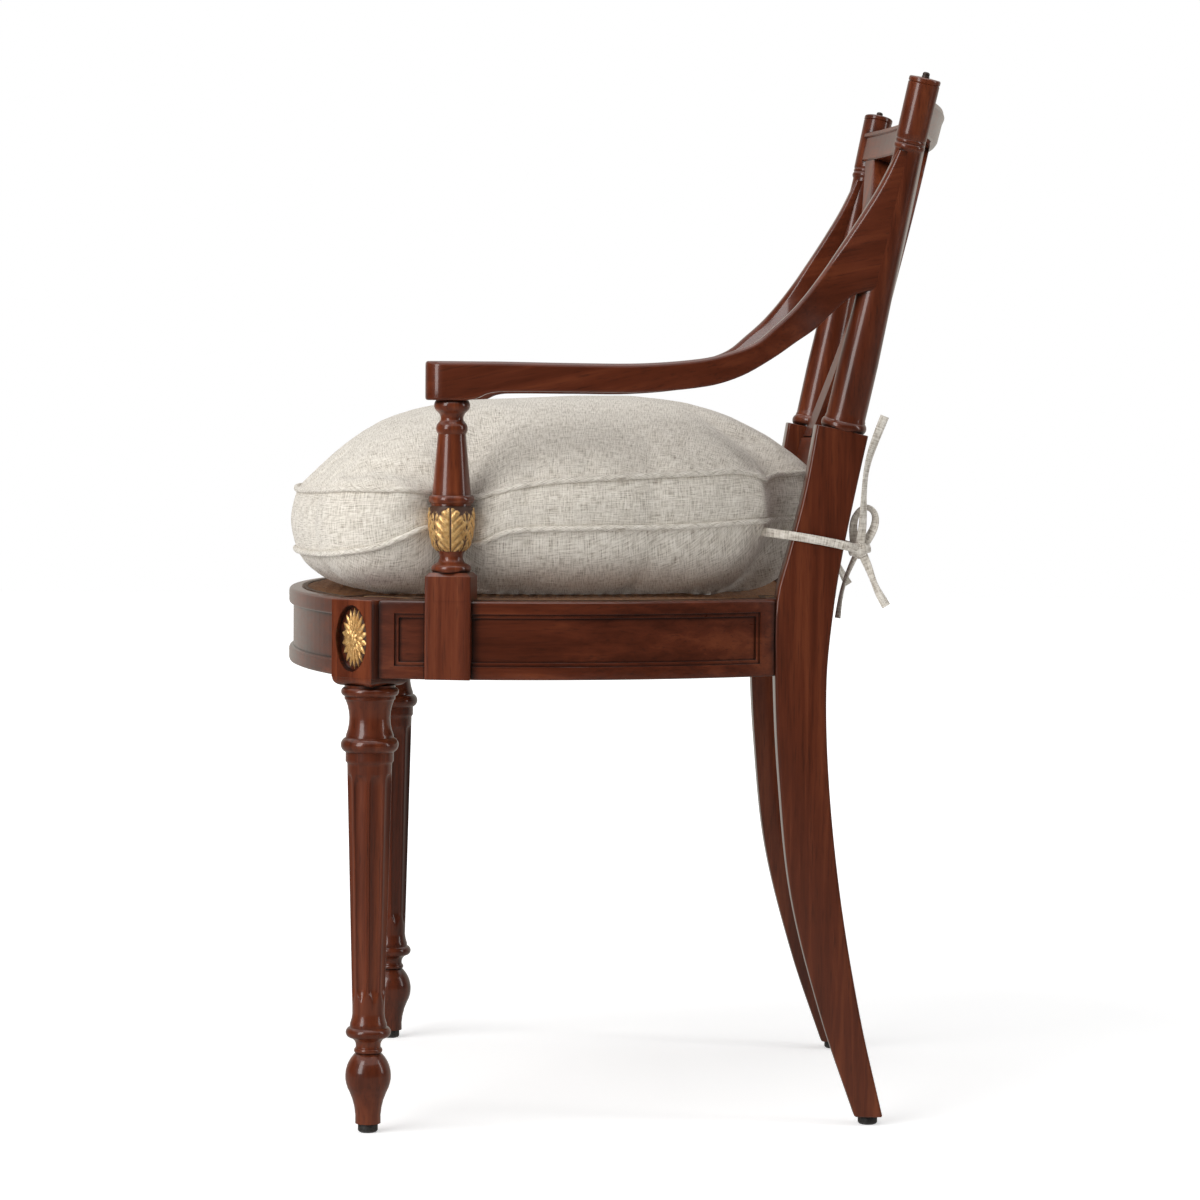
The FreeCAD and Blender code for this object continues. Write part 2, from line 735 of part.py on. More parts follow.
def seat_region(inset, low, high):
    """The seat's plan inside the rim, passing round the leg blocks and the posts."""
    margin = groove_margin + inset - rim_width
    tall = high - low
    region = seat_prism(inset, low, high)
    side = leg_block + 2 * margin
    post_box = Part.makeBox(200, 200, tall, V(post_inner_low - margin, post_face_y - margin, low))
    leg_box = box_at(side + out_to, side, tall, (out_to / 2, 0, 0))
    leg_box.rotate(V(0, 0, 0), UP, leg_block_turn)
    leg_box.translate(V(front_leg_x, front_leg_y, low))
    for obstacle in (post_box, leg_box):
        region = region.cut(obstacle).cut(mirrored(obstacle))
    return region


spline_top = seat_height + spline_proud
groove = seat_region(rim_width, groove_low, spline_top)
groove = groove.cut(seat_region(rim_width + spline_width, groove_low - 1, spline_top + 1))
cane_spline = groove
cane_panel = seat_region(rim_width + spline_width, seat_height - cane_thickness, seat_height)
front_rail = front_rail.cut(groove).cut(cane_panel)
side_rail = side_rail.cut(groove).cut(cane_panel)
seat_back_rail = seat_back_rail.cut(groove).cut(cane_panel)
front_corner = front_corner.cut(groove).cut(cane_panel)
rear_corner = rear_corner.cut(groove).cut(cane_panel)

# Arm support: a turned baluster on a block whose tongue is let into the side rail
cup_height = 39.5
cup_low = block_top + 18.5
cup_high = cup_low + cup_height
support_outline = [
    (0, block_top),
    (15.5, block_top),
    (17.4, block_top + 3.6, 14.5, block_top + 7.2),
    (12.0, block_top + 8.6),
    (10.4, block_top + 12, 11.2, block_top + 17),
    (12.2, cup_low),
    (12.2, cup_high),
    (18.0, cup_high),
    (18.0, cup_high + 1.8),
    (20.2, cup_high + 5.6, 18.0, cup_high + 9.4),
    (17.0, cup_high + 9.4),
    (12.2, arm_underside - 29.5),
    (13.9, arm_underside - 24.3, 12.2, arm_underside - 19.8),
    (10.2, arm_underside - 17.5),
    (10.4, arm_underside - 13.5, 13.2, arm_underside - 9.8),
    (15.8, arm_underside - 4.6, 14.0, arm_underside),
    (arm_tenon_diameter / 2, arm_underside),
    (arm_tenon_diameter / 2, arm_underside + arm_tenon_length),
    (0, arm_underside + arm_tenon_length),
]
baluster = turned(support_outline)
base_block = box_at(block_depth, block_width, block_top - seat_height, (0, 0, seat_height))
top_edges = [edge for edge in base_block.Edges if min(v.Z for v in edge.Vertexes) > block_top - 0.1]
base_block = base_block.makeChamfer(3.0, top_edges)
tongue_middle = (block_depth / 2 - block_tongue / 2, 0, rail_bottom)
tongue = box_at(block_tongue, block_width, rail_height + 0.01, tongue_middle)
support = baluster.fuse(base_block).fuse(tongue)
support.rotate(V(0, 0, 0), UP, support_turn)
support.translate(V(support_x, support_y, 0))
support = support.cut(cane_spline).removeSplitter()
tongue.rotate(V(0, 0, 0), UP, support_turn)
tongue.translate(V(support_x, support_y, 0))
side_rail = side_rail.cut(tongue)

# Gilt leaf cup round the baluster, carved in flats, its rim scalloped into pointed leaves
# Height and radius of the cup, from its foot to its rim
cup_levels = [
    (cup_low, 12.8),
    (cup_low + 7, 17.6),
    (cup_low + 18, 20.2),
    (cup_low + 28, 21.0),
    (cup_high - 2.5, 19.6),
    (cup_high, 18.2),
]


def cup_section(height, radius):
    """The cup at a height: two flats to a leaf."""
    angles = [math.pi * index / leaf_count for index in range(2 * leaf_count)]
    corners = [V(radius * math.cos(angle), radius * math.sin(angle), height) for angle in angles]
    return Part.makePolygon(corners + corners[:1])


leaf_cup = Part.makeLoft([cup_section(*level) for level in cup_levels], True, True)
leaf_cup = leaf_cup.cut(Part.makeCylinder(12.2, cup_high - cup_low, V(0, 0, cup_low)))
for index in range(leaf_count):
    notch = Part.makePolygon([
        V(30, 0, cup_low + 4),
        V(30, -3.4, cup_high + 2),
        V(30, 3.4, cup_high + 2),
        V(30, 0, cup_low + 4),
    ])
    cutter = Part.Face(notch).extrude(V(-12.6, 0, 0))
    cutter.rotate(V(0, 0, 0), UP, (index + 0.5) * 360.0 / leaf_count)
    leaf_cup = leaf_cup.cut(cutter)
leaf_cup.translate(V(support_x, support_y, 0))

# Arm: sawn to one outline from the side and one from above, then eased along its edges
# Height of the arm's flat top, the end of the hand rest and where the cove behind it starts
arm_top = arm_underside + arm_thickness
arm_end = -169.6
arm_cove = -131.0
# The sweep from the side, top and lower edge above the underside, and from above, middle and width
arm_upper = [(-35, 33.2), (20, 33.6), (70, 38), (112, 50), (146, 75.5), (185, 123)]
arm_upper += [(226.5, 188.5), (244, 222)]
# The lower edge runs to a crotch at the post, and behind that the arm is scribed to the post's side
arm_lower = [(230, 98), (216, 98.5), (207, 95.5), (197, 87.5), (186, 77.5), (173, 65.5), (152, 50.5)]
arm_lower += [(132, 37), (111, 25), (77, 14), (22, 8.4), (-50, 8), (-104, 8)]
arm_plan = [(arm_end, 268.4, 36), (-35, 263.6, 32.8), (70, 250, 31), (146, 228, 29)]
arm_plan += [(185, 210.3, 25.6), (215, 210.2, 24), (232, 212.4, 22.6), (262, 219, 20)]
upper = [V(0, arm_end, arm_top), V(0, arm_cove, arm_top)]
upper += [V(0, y, arm_underside + rise) for y, rise in arm_upper]
lower = [V(0, y, arm_underside + rise) for y, rise in arm_lower]
arm_head = V(0, 256, arm_underside + 218)
grip_low = V(0, arm_cove, arm_underside)
corner_low = V(0, arm_end, arm_underside)
lines = [
    through(upper),
    Part.makeLine(upper[-1], arm_head),
    Part.makeLine(arm_head, lower[0]),
    through(lower),
    Part.Arc(lower[-1], V(0, arm_cove + 13, arm_underside + 4.6), grip_low).toShape(),
    Part.makeLine(grip_low, corner_low),
    Part.makeLine(corner_low, upper[0]),
]
arm = Part.Face(Part.Wire(lines)).extrude(V(front_radius, 0, 0))
outer = [V(middle + width / 2, y, 0) for y, middle, width in arm_plan]
inner_side = [V(middle - width / 2, y, 0) for y, middle, width in reversed(arm_plan)]
lines = [through(outer), Part.makeLine(outer[-1], inner_side[0]), through(inner_side)]
lines.append(Part.makeLine(inner_side[-1], outer[0]))
arm = arm.common(Part.Face(Part.Wire(lines)).extrude(UP * (2 * arm_top)))
upper_edges = [edge for edge in arm.Edges if edge.Length > 300 and edge.BoundBox.ZMin > arm_top - 10]
front_edges = [edge for edge in arm.Edges if edge.BoundBox.YMax < arm_end + 1]
arm = arm.makeChamfer(arm_easing, upper_edges + front_edges)
lower_edges = [edge for edge in arm.Edges if edge.Length > 300 and edge.BoundBox.ZMin < arm_top - 10]
arm = arm.makeChamfer(arm_easing / 2, lower_edges)
arm = biggest(arm.cut(post_bare))
hole = Part.makeCylinder(
    arm_tenon_diameter / 2 + glue_gap,
    arm_tenon_length + 1,
    V(support_x, support_y, arm_underside - 0.5),
)
arm = arm.cut(hole)
support = support.cut(arm)

# Glides: plain discs under the feet
front_glide = Part.makeCylinder(glide_diameter / 2, glide_height, V(front_leg_x, front_leg_y, 0))
rear_foot_y = (post_edges[0][1] + post_edges[0][2]) / 2
rear_glide = Part.makeCylinder(glide_diameter / 2, glide_height, V(foot_x, rear_foot_y, 0))

# Loose cushion: a crowned pillow with a band between two seams, dented by the arm supports
# and notched at the back posts
# Half outline in plan at the seams: point, then arcs by their middle and end
cushion_half = [
    (0, -302.0),
    (95, -294.5, 178, -270.0),
    (232, -246, 249, -196.0),
    (252, -178, 246, -164.0),
    (244, -147, 246, -130.0),
    (254, -60, 240, 20.0),
    (222, 82, 190, 128.0),
    (181, 136, 166, 138.0),
    (156, 141, 152, 154.0),
    (149, 172, 132, 178.0),
    (68, 184, 0, 186.0),
]
# Height and share of the plan outline kept, from the flat underside to the crown
cushion_levels = [
    (cushion_bottom, 0.66),
    (cushion_bottom + 5, 0.77),
    (cushion_bottom + 18, 0.88),
    (cushion_bottom + 40, 0.965),
    (lower_welt, 1.0),
    ((lower_welt + upper_welt) / 2, 0.985),
    (upper_welt, 1.0),
    (upper_welt + 18, 0.965),
    (upper_welt + 38, 0.87),
    (upper_welt + 56, 0.71),
    (cushion_top - 6, 0.50),
    (cushion_top, 0.25),
]
cushion_middle = V(0, -52, 0)


def plan(a, b):
    """A point of the cushion's outline in plan."""
    return V(a, b, 0)


half_edges = chain(cushion_half, plan, sewing_step)
half_rim = [edge.Vertexes[0].Point for edge in half_edges] + [plan(*cushion_half[-1][-2:])]
rim = half_rim + [V(-point.x, point.y, 0) for point in reversed(half_rim[1:-1])]


def cushion_section(height, share):
    """The cushion's outline, drawn in towards its middle by a share."""
    corners = [cushion_middle + (point - cushion_middle) * share + UP * height for point in rim]
    return Part.makePolygon(corners + corners[:1])


cushion = Part.makeLoft([cushion_section(*level) for level in cushion_levels], True, True)


# Ties of the cushion: two leads round each post, a knot, a bow and three tails
def cord(name, points):
    """A flat tape along straight runs joined by arcs as large as the runs allow."""
    edges = []
    start = points[0]
    radii = []
    for before, corner, after in zip(points, points[1:], points[2:]):
        come = (corner - before).normalize()
        go = (after - corner).normalize()
        turn = come.getAngle(go)
        reach = 0.45 * min((corner - before).Length, (after - corner).Length)
        radius = reach / math.tan(turn / 2)
        radii.append(radius)
        first = corner - come * reach
        last = corner + go * reach
        inward = (go - come).normalize()
        middle = corner + inward * (radius / math.cos(turn / 2) - radius)
        edges.append(Part.LineSegment(start, first).toShape())
        edges.append(Part.Arc(first, middle, last).toShape())
        start = last
    edges.append(Part.LineSegment(start, points[-1]).toShape())
    path = Part.Wire(edges)
    ahead = (points[1] - points[0]).normalize()
    wide = V(1, 0, 0).cross(ahead).normalize() * (tape_width / 2)
    thick = ahead.cross(wide).normalize() * (tape_thickness / 2)
    first = points[0]
    ends = [first + wide + thick, first - wide + thick, first - wide - thick, first + wide - thick]
    tube = path.makePipeShell([Part.makePolygon(ends + ends[:1])], True, False)
    full = tape_width * tape_thickness * path.Length
    told = " ".join("%.1f" % radius for radius in radii)
    print("%s: length %.1f, radii %s, volume share %.3f" % (name, path.Length, told, tube.Volume / full))
    return tube


knot_x = 199.0
knot_y = 217.0
knot_middle = V(knot_x, knot_y, seat_height + tie_rise)
knot_corner = (knot_middle.x, knot_middle.y, knot_middle.z - knot_size / 2)
knot = box_at(knot_size, knot_size, knot_size, knot_corner)
knot = knot.makeChamfer(knot_easing, knot.Edges)
# Each route as steps from the middle of the knot
tie_routes = {
    "tie_outer_lead": [
        (-9, -96, 16), (7, -83, 15), (15, -59, 12.5), (15.8, -30, 7.5), (15, -11, 3.5), (8, -2, 1), (0, 0, 0),
    ],
    "tie_inner_lead": [
        (-51, -71, 15), (-39, -60, 13.8), (-32.8, -39, 10.5), (-32.6, -17, 5.5), (-25, -5, 2), (-12, -1, 0.5),
        (0, 0, 0),
    ],
    "tie_upper_tail": [
        (3, 0, 2.5), (4.5, 2.5, 23.5), (5.5, 2.6, 48.5), (6, 4.6, 73.5), (6.5, 11.3, 96.5), (7, 20.5, 119.5),
    ],
    "tie_bow": [
        (-4, -4, 3.5), (-5, -6.2, 17.5), (-5.5, -4, 30.5), (-5, 4.5, 39.5), (-4, 13.5, 34.5), (-3, 14.5, 23.5),
        (-2, 9, 11.5), (-1, 2, 1.5),
    ],
    "tie_right_tail": [
        (2, 2, -2.5), (4, 7.5, -14.5), (5, 12.5, -28.5), (5.6, 18, -40.5), (6, 24, -50),
    ],
    "tie_left_tail": [
        (-2, -3, -4.5), (-4, -9, -17.5), (-5.4, -14, -32.5), (-6, -17, -47.5), (-6, -18.5, -61.5),
    ],
}
both("tie_knot", knot)
for name, steps in tie_routes.items():
    tube = cord(name, [knot_middle + V(*step) for step in steps])
    tube = biggest(tube.cut(knot))
    if "lead" in name:
        tube = biggest(tube.cut(cushion))
    both(name, tube)

both("back_post", back_post)
both("front_leg", front_leg)
export("front_seat_rail", front_rail)
both("side_rail", side_rail)
export("back_seat_rail", seat_back_rail)
export("crest_rail", crest_raked)
export("lower_back_rail", low_raked)
both("outer_lattice_bar", raked(outer_bar, panel_lean))
both("inner_lattice_bar", raked(inner_bar, panel_lean))
both("arm", arm)
both("arm_support", support)
both("gilt_leaf_cup", leaf_cup)
both("patera", patera)
both("front_corner_block", front_corner)
both("rear_corner_block", rear_corner)
export("cane_panel", cane_panel)
export("cane_spline", cane_spline)
both("front_glide", front_glide)
both("rear_glide", rear_glide)
both("finial_pin", finial_pin)
export("seat_cushion", cushion)
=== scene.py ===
import math
import bmesh
import bpy
from mathutils import Matrix, Vector, noise
from mathutils.bvhtree import BVHTree


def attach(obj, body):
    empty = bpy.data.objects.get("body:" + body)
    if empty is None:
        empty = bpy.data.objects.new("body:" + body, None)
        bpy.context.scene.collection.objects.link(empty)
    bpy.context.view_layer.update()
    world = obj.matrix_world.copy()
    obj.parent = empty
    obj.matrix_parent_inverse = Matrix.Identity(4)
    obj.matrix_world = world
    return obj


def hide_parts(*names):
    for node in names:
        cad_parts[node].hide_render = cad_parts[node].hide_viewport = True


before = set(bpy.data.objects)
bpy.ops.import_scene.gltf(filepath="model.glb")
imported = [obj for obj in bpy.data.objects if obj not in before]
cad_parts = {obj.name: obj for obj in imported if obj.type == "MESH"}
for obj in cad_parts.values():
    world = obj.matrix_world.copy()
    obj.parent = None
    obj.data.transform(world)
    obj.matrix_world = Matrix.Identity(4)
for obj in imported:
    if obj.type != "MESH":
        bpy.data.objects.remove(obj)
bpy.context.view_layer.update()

# Camera: three and a half metres off the sitter's left side, at the height of the cushion's crown,
# turned and tilted by a hair, with a long lens.
scene = bpy.context.scene
scene.view_settings.view_transform = "Standard"
camera_yaw = 0.015969
camera_pitch = 0.052362
camera_roll = 0.008
camera_place = (3.50852, -0.06762, 0.6444)
forward = Vector((
    -math.cos(camera_yaw) * math.cos(camera_pitch),
    math.sin(camera_yaw) * math.cos(camera_pitch),
    -math.sin(camera_pitch),
))
level = Vector((math.sin(camera_yaw), math.cos(camera_yaw), 0.0))
upward = level.cross(forward)
across = level * math.cos(camera_roll) + upward * math.sin(camera_roll)
above = upward * math.cos(camera_roll) - level * math.sin(camera_roll)
camera_data = bpy.data.cameras.new("camera")
camera_data.sensor_width = 36.0
camera_data.lens = 111.27
camera_data.clip_end = 100.0
camera = bpy.data.objects.new("camera", camera_data)
scene.collection.objects.link(camera)
turn = Matrix((across, above, -forward)).transposed().to_4x4()
camera.matrix_world = Matrix.Translation(camera_place) @ turn
scene.camera = camera

# Studio: a white floor and sky, one large soft lamp from the front of the chair, a weaker one from
# behind it and one overhead. A ring of screens, a floor cloth and a strip lamp are there for the
# polish alone to mirror: dark at the camera's side, they keep it deep, and the strip gives its streaks.
def wired(tree, links):
    """Join an output and an input of a node tree, pair by pair."""
    for start, end in links:
        tree.links.new(start, end)


def seen_plainly(tree):
    """Whether the camera, a mirror or a glass looks, and not soft light."""
    path = tree.nodes.new("ShaderNodeLightPath").outputs
    seen = path["Is Camera Ray"]
    for kind in ("Is Glossy Ray", "Is Transmission Ray"):
        either = tree.nodes.new("ShaderNodeMath")
        either.operation = "MAXIMUM"
        wired(tree, ((seen, either.inputs[0]), (path[kind], either.inputs[1])))
        seen = either.outputs[0]
    return seen


sky_light = 0.31
world = bpy.data.worlds.new("studio")
scene.world = world
world.use_nodes = True
sky = world.node_tree
sky.nodes.clear()
strength = sky.nodes.new("ShaderNodeMapRange")
strength.inputs["To Min"].default_value = sky_light
backdrop = sky.nodes.new("ShaderNodeBackground")
backdrop.inputs["Color"].default_value = (1, 1, 1, 1)
ending = sky.nodes.new("ShaderNodeOutputWorld")
wired(sky, (
    (seen_plainly(sky), strength.inputs["Value"]), (strength.outputs[0], backdrop.inputs["Strength"]),
    (backdrop.outputs[0], ending.inputs[0]),
))

floor_half = 9.0
floor_white = 0.80
glow_under_chair = 0.51
glow_starts = 0.7
glow_full = 2.6
floor_corners = [(x * floor_half, y * floor_half, 0) for x, y in ((-1, -1), (1, -1), (1, 1), (-1, 1))]
floor_mesh = bpy.data.meshes.new("floor")
floor_mesh.from_pydata(floor_corners, [], [(0, 1, 2, 3)])
floor = bpy.data.objects.new("floor", floor_mesh)
scene.collection.objects.link(floor)
floor_paint = bpy.data.materials.new("floor paint")
floor_paint.use_nodes = True
tree = floor_paint.node_tree
tree.nodes.clear()
matt = tree.nodes.new("ShaderNodeBsdfDiffuse")
matt.inputs["Color"].default_value = (floor_white, floor_white, floor_white, 1)
glow = tree.nodes.new("ShaderNodeEmission")
spot = tree.nodes.new("ShaderNodeTexCoord")
away = tree.nodes.new("ShaderNodeVectorMath")
away.operation = "LENGTH"
fade = tree.nodes.new("ShaderNodeMapRange")
fade.inputs["From Min"].default_value = glow_starts
fade.inputs["From Max"].default_value = glow_full
fade.inputs["To Min"].default_value = glow_under_chair
lift = tree.nodes.new("ShaderNodeMath")
lift.operation = "MULTIPLY"
both = tree.nodes.new("ShaderNodeAddShader")
ending = tree.nodes.new("ShaderNodeOutputMaterial")
wired(tree, (
    (spot.outputs["Object"], away.inputs[0]), (away.outputs["Value"], fade.inputs["Value"]),
    (seen_plainly(tree), lift.inputs[0]), (fade.outputs[0], lift.inputs[1]),
    (lift.outputs[0], glow.inputs["Strength"]), (matt.outputs[0], both.inputs[0]),
    (glow.outputs[0], both.inputs[1]), (both.outputs[0], ending.inputs[0]),
))
floor_mesh.materials.append(floor_paint)


def held(share):
    """A share kept between 0 and 1."""
    return min(1.0, max(0.0, share))


screen_reach = 4.4
screen_top = 3.4
screen_steps = 90
screen_dark = 0.03
screen_gain = 0.52
screen_tint = (1.0, 0.95, 0.86)
rear_paling = (98, 120)
front_paling = (98, 150)
cloth_level = 0.002
cloth_shade = 0.42
screen_points = []
screen_faces = []
screen_shades = []
for step in range(screen_steps):
    bearing = 360 * step / screen_steps
    turned_to = math.radians(bearing)
    edge = (screen_reach * math.cos(turned_to), screen_reach * math.sin(turned_to))
    screen_points += [(*edge, cloth_level), (*edge, screen_top)]
    low, high = 2 * step, 2 * ((step + 1) % screen_steps)
    screen_faces += [(low, high, high + 1, low + 1), (low, 2 * screen_steps, high)]
    first_pale, last_pale = rear_paling if bearing < 180 else front_paling
    off_side = abs((bearing + 180) % 360 - 180)
    paleness = held((off_side - first_pale) / (last_pale - first_pale)) ** 1.3
    screen_shades += [screen_dark + screen_gain * paleness] * 2
screen_points.append((0.0, 0.0, cloth_level))
screen_shades.append(cloth_shade)
screen_mesh = bpy.data.meshes.new("screen")
screen_mesh.from_pydata(screen_points, [], screen_faces)
screen_colours = []
for shade in screen_shades:
    screen_colours += [part * shade for part in screen_tint] + [1.0]
screen_mesh.attributes.new("shade", "FLOAT_COLOR", "POINT").data.foreach_set("color", screen_colours)
screen_cloth = bpy.data.materials.new("screen cloth")
screen_cloth.use_nodes = True
screen_cloth.cycles.emission_sampling = "NONE"
surface = screen_cloth.node_tree.nodes["Principled BSDF"]
surface.inputs["Base Color"].default_value = (0, 0, 0, 1)
surface.inputs["Specular IOR Level"].default_value = 0.0
surface.inputs["Emission Strength"].default_value = 1.0
shade = screen_cloth.node_tree.nodes.new("ShaderNodeAttribute")
shade.attribute_name = "shade"
screen_cloth.node_tree.links.new(shade.outputs["Color"], surface.inputs["Emission Color"])
screen_mesh.materials.append(screen_cloth)
screen = bpy.data.objects.new("screen", screen_mesh)
scene.collection.objects.link(screen)
screen.visible_camera = False
screen.visible_diffuse = False
screen.visible_shadow = False

lamp_aim = Vector((0, 0, 0.55))
lamps = (
    ("front strip", (2.30, -2.02, 1.65), (1.1, 2.6), 58.0, False, True),
    ("front lamp", (1.95, -2.45, 1.95), (3.0, 3.0), 104.0, True, False),
    ("rear lamp", (0.75, 3.05, 1.45), (0.6, 2.3), 19.0, True, True),
    ("top lamp", (0.2, 0.0, 3.2), (2.0, 2.0), 24.0, True, True),
)
for name, spot, size, power, lights, mirrored in lamps:
    lamp = bpy.data.lights.new(name, "AREA")
    lamp.shape = "RECTANGLE"
    lamp.size, lamp.size_y = size
    lamp.energy = power
    lamp_object = bpy.data.objects.new(name, lamp)
    aim = (lamp_aim - Vector(spot)).to_track_quat("-Z", "Y")
    lamp_object.matrix_world = Matrix.Translation(spot) @ aim.to_matrix().to_4x4()
    lamp_object.visible_diffuse = lights
    lamp_object.visible_glossy = mirrored
    scene.collection.objects.link(lamp_object)


# Mahogany: the show wood of the whole frame, straight-grained and reddish brown, stained, darkened in its
# hollows by brown wax and painted shade, and French polished to a soft gloss.
class Value:
    """A number that varies over a finish, so that sums are written as they are said."""

    def __init__(self, finish, socket):
        self.finish = finish
        self.socket = socket

    def __add__(self, other):
        return self.finish.sum("ADD", self, other)

    def __sub__(self, other):
        return self.finish.sum("SUBTRACT", self, other)

    def __rsub__(self, other):
        return self.finish.sum("SUBTRACT", other, self)

    def __mul__(self, other):
        return self.finish.sum("MULTIPLY", self, other)

    def __pow__(self, other):
        return self.finish.sum("POWER", self, other)

    __radd__ = __add__
    __rmul__ = __mul__


class Finish:
    """A material built from nodes round one surface."""

    def __init__(self, name, constants):
        self.material = bpy.data.materials.new(name)
        self.material.use_nodes = True
        self.tree = self.material.node_tree
        self.tree.nodes.clear()
        self.surface = self.tree.nodes.new("ShaderNodeBsdfPrincipled")
        ending = self.tree.nodes.new("ShaderNodeOutputMaterial")
        self.tree.links.new(self.surface.outputs[0], ending.inputs[0])
        self.coat(constants)

    def node(self, kind, settings=None, sockets=None, output=0):
        """Add a node: its settings first, then the values or links of its sockets."""
        made = self.tree.nodes.new(kind)
        for key, value in (settings or {}).items():
            if key == "stops":
                ramp = made.color_ramp
                while len(ramp.elements) < len(value):
                    ramp.elements.new(1.0)
                for element, (place, colour) in zip(ramp.elements, value):
                    element.position = place
                    element.color = (*colour, 1.0)
            else:
                setattr(made, key, value)
        for key, value in (sockets or {}).items():
            self.feed(made.inputs[key], value)
        return Value(self, made.outputs[output])

    def feed(self, socket, value):
        if isinstance(value, Value):
            self.tree.links.new(value.socket, socket)
        else:
            socket.default_value = value

    def coat(self, sockets):
        """Set or link the sockets of the surface."""
        for key, value in sockets.items():
            self.feed(self.surface.inputs[key], value)

    def sum(self, operation, first, second):
        return self.node("ShaderNodeMath", {"operation": operation}, {0: first, 1: second})

    def spread(self, value, low, high):
        """Stretch a value so that low becomes 0 and high 1, and hold it there."""
        sockets = {"Value": value, "From Min": low, "From Max": high}
        return self.node("ShaderNodeMapRange", {"clamp": True}, sockets)

    def ramp(self, share, stops):
        """A colour by a share, from the colours at stops along it."""
        return self.node("ShaderNodeValToRGB", {"stops": stops}, {"Fac": share})

    def bump(self, height, strength, distance):
        sockets = {"Strength": strength, "Distance": distance, "Height": height}
        return self.node("ShaderNodeBump", None, sockets)

    def wax(self):
        """How much dark wax and painted shade lie at a spot."""
        return self.node("ShaderNodeAttribute", {"attribute_name": "wax"}, output=2)

    def blend(self, share, first, second):
        """A colour between two."""
        return self.node("ShaderNodeMix", {"data_type": "RGBA"}, {0: share, 6: first, 7: second}, 2)

    def grain(self, vector, scale, detail=4.0, roughness=0.55, distortion=0.0):
        sockets = {"Vector": vector, "Scale": scale, "Detail": detail, "Roughness": roughness}
        return self.node("ShaderNodeTexNoise", None, {**sockets, "Distortion": distortion})

    def mapped(self, scale, turn=(0, 0, 0), source=3):
        """The object's own coordinates, stretched and turned: the grain runs where they are squeezed."""
        place = self.node("ShaderNodeTexCoord", output=source)
        sockets = {"Vector": place, "Scale": tuple(1 / share for share in scale), "Rotation": turn}
        return self.node("ShaderNodeMapping", {"vector_type": "TEXTURE"}, sockets)


def mahogany(name, along, turn=(0, 0, 0), figure=1.0, pale=1.0):
    """Polished mahogany with its grain along an axis, more or less figured and more or less pale."""
    finish = Finish(name, {"Coat Weight": 0.55, "Coat Roughness": 0.10, "Specular IOR Level": 0.2})
    squeeze = tuple(0.055 if axis == along else 1.0 for axis in "XYZ")
    place = finish.mapped(squeeze, turn)
    streak = finish.grain(place, 95.0, 6.0, 0.62, 0.4)
    broad = finish.grain(place, 17.0, 3.0, 0.5, 0.6)
    pores = finish.spread(finish.grain(place, 620.0, 2.0, 0.5), 0.56, 0.72)
    middle, apart = 0.58, 0.22 / figure
    tone = finish.spread(streak * 0.6 + broad * 0.55, middle - apart, middle + apart)
    shades = ((0.041, 0.0080, 0.0030), (0.100, 0.0202, 0.0069), (0.206, 0.0490, 0.0160))
    stops = [(number / 2, tuple(pale * part for part in shade)) for number, shade in enumerate(shades)]
    pore_brown = (0.030, 0.008, 0.004, 1)
    wax_and_shade_brown = (0.008, 0.0030, 0.0020, 1)
    colour = finish.blend(pores * 0.45, finish.ramp(tone, stops), pore_brown)
    # Brown wax and painted shade: darkest where other wood or gilding lies close above the surface.
    colour = finish.blend(finish.wax() ** 1.4 * 0.9, colour, wax_and_shade_brown)
    bump = finish.bump(streak - pores * 0.5, 0.05, 0.0006)
    finish.coat({"Base Color": colour, "Roughness": streak * 0.20 + 0.22, "Normal": bump})
    return finish


# Front legs: turned from square mahogany, with a vase foot, a fluted tapering shaft between rings and
# a square block set cornerwise, whose outer face is sunk in an oval for the patera.
leg_x = 0.247
leg_y = -0.2176
block_low = 0.397
block_high = 0.4735
block_half = 0.02425
block_turn = math.radians(-41.0)
shaft_low = 0.110
shaft_high = block_low - 0.069
flute_count = 8
flute_half = 0.345
flute_depth = 0.19
flute_low = shaft_low + 0.003
flute_low_run = 0.016
flute_high = shaft_high - 0.009
flute_high_run = 0.010
polished = []


def facing_out(mesh):
    """Turn all faces of a mesh outwards."""
    form = bmesh.new()
    form.from_mesh(mesh)
    bmesh.ops.recalc_face_normals(form, faces=form.faces)
    form.to_mesh(mesh)
    form.free()


def plain_mesh(name, points, faces):
    """A mesh of points and faces as they are given."""
    mesh = bpy.data.meshes.new(name)
    mesh.from_pydata([tuple(point) for point in points], [], faces)
    return mesh


def meshed(name, points, faces):
    """A mesh of points and faces, which all look outwards."""
    mesh = plain_mesh(name, points, faces)
    facing_out(mesh)
    return mesh


def piece(name, points, faces, finish, slot, nodes, crease=38.0):
    """A finished piece in its place that stands for nodes of the frame."""
    return dress(meshed(name, points, faces), finish, slot, nodes, crease)


def dress(mesh, finish, slot, nodes, crease=38.0):
    """Smooth a piece's mesh, give it its finish and put it on the frame."""
    made = bpy.data.objects.new(mesh.name, mesh)
    if slot == "mahogany":
        polished.append(made)
    scene.collection.objects.link(made)
    made.data.materials.clear()
    made.data.materials.append(finish.material)
    made.data.shade_smooth()
    made.data.set_sharp_from_angle(angle=math.radians(crease))
    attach(made, "root")
    if nodes:
        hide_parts(*nodes)
    return made


def both_sides(name, shape, finish, slot, node, crease=38.0):
    """A piece of the chair's left side, and its mirror image on the right."""
    made = []
    for side, sign in (("left_", 1), ("right_", -1)):
        points = [(sign * point[0], point[1], point[2]) for point in shape[0]]
        made.append(piece(side + name, points, shape[1], finish, slot, [side + node], crease))
    return made


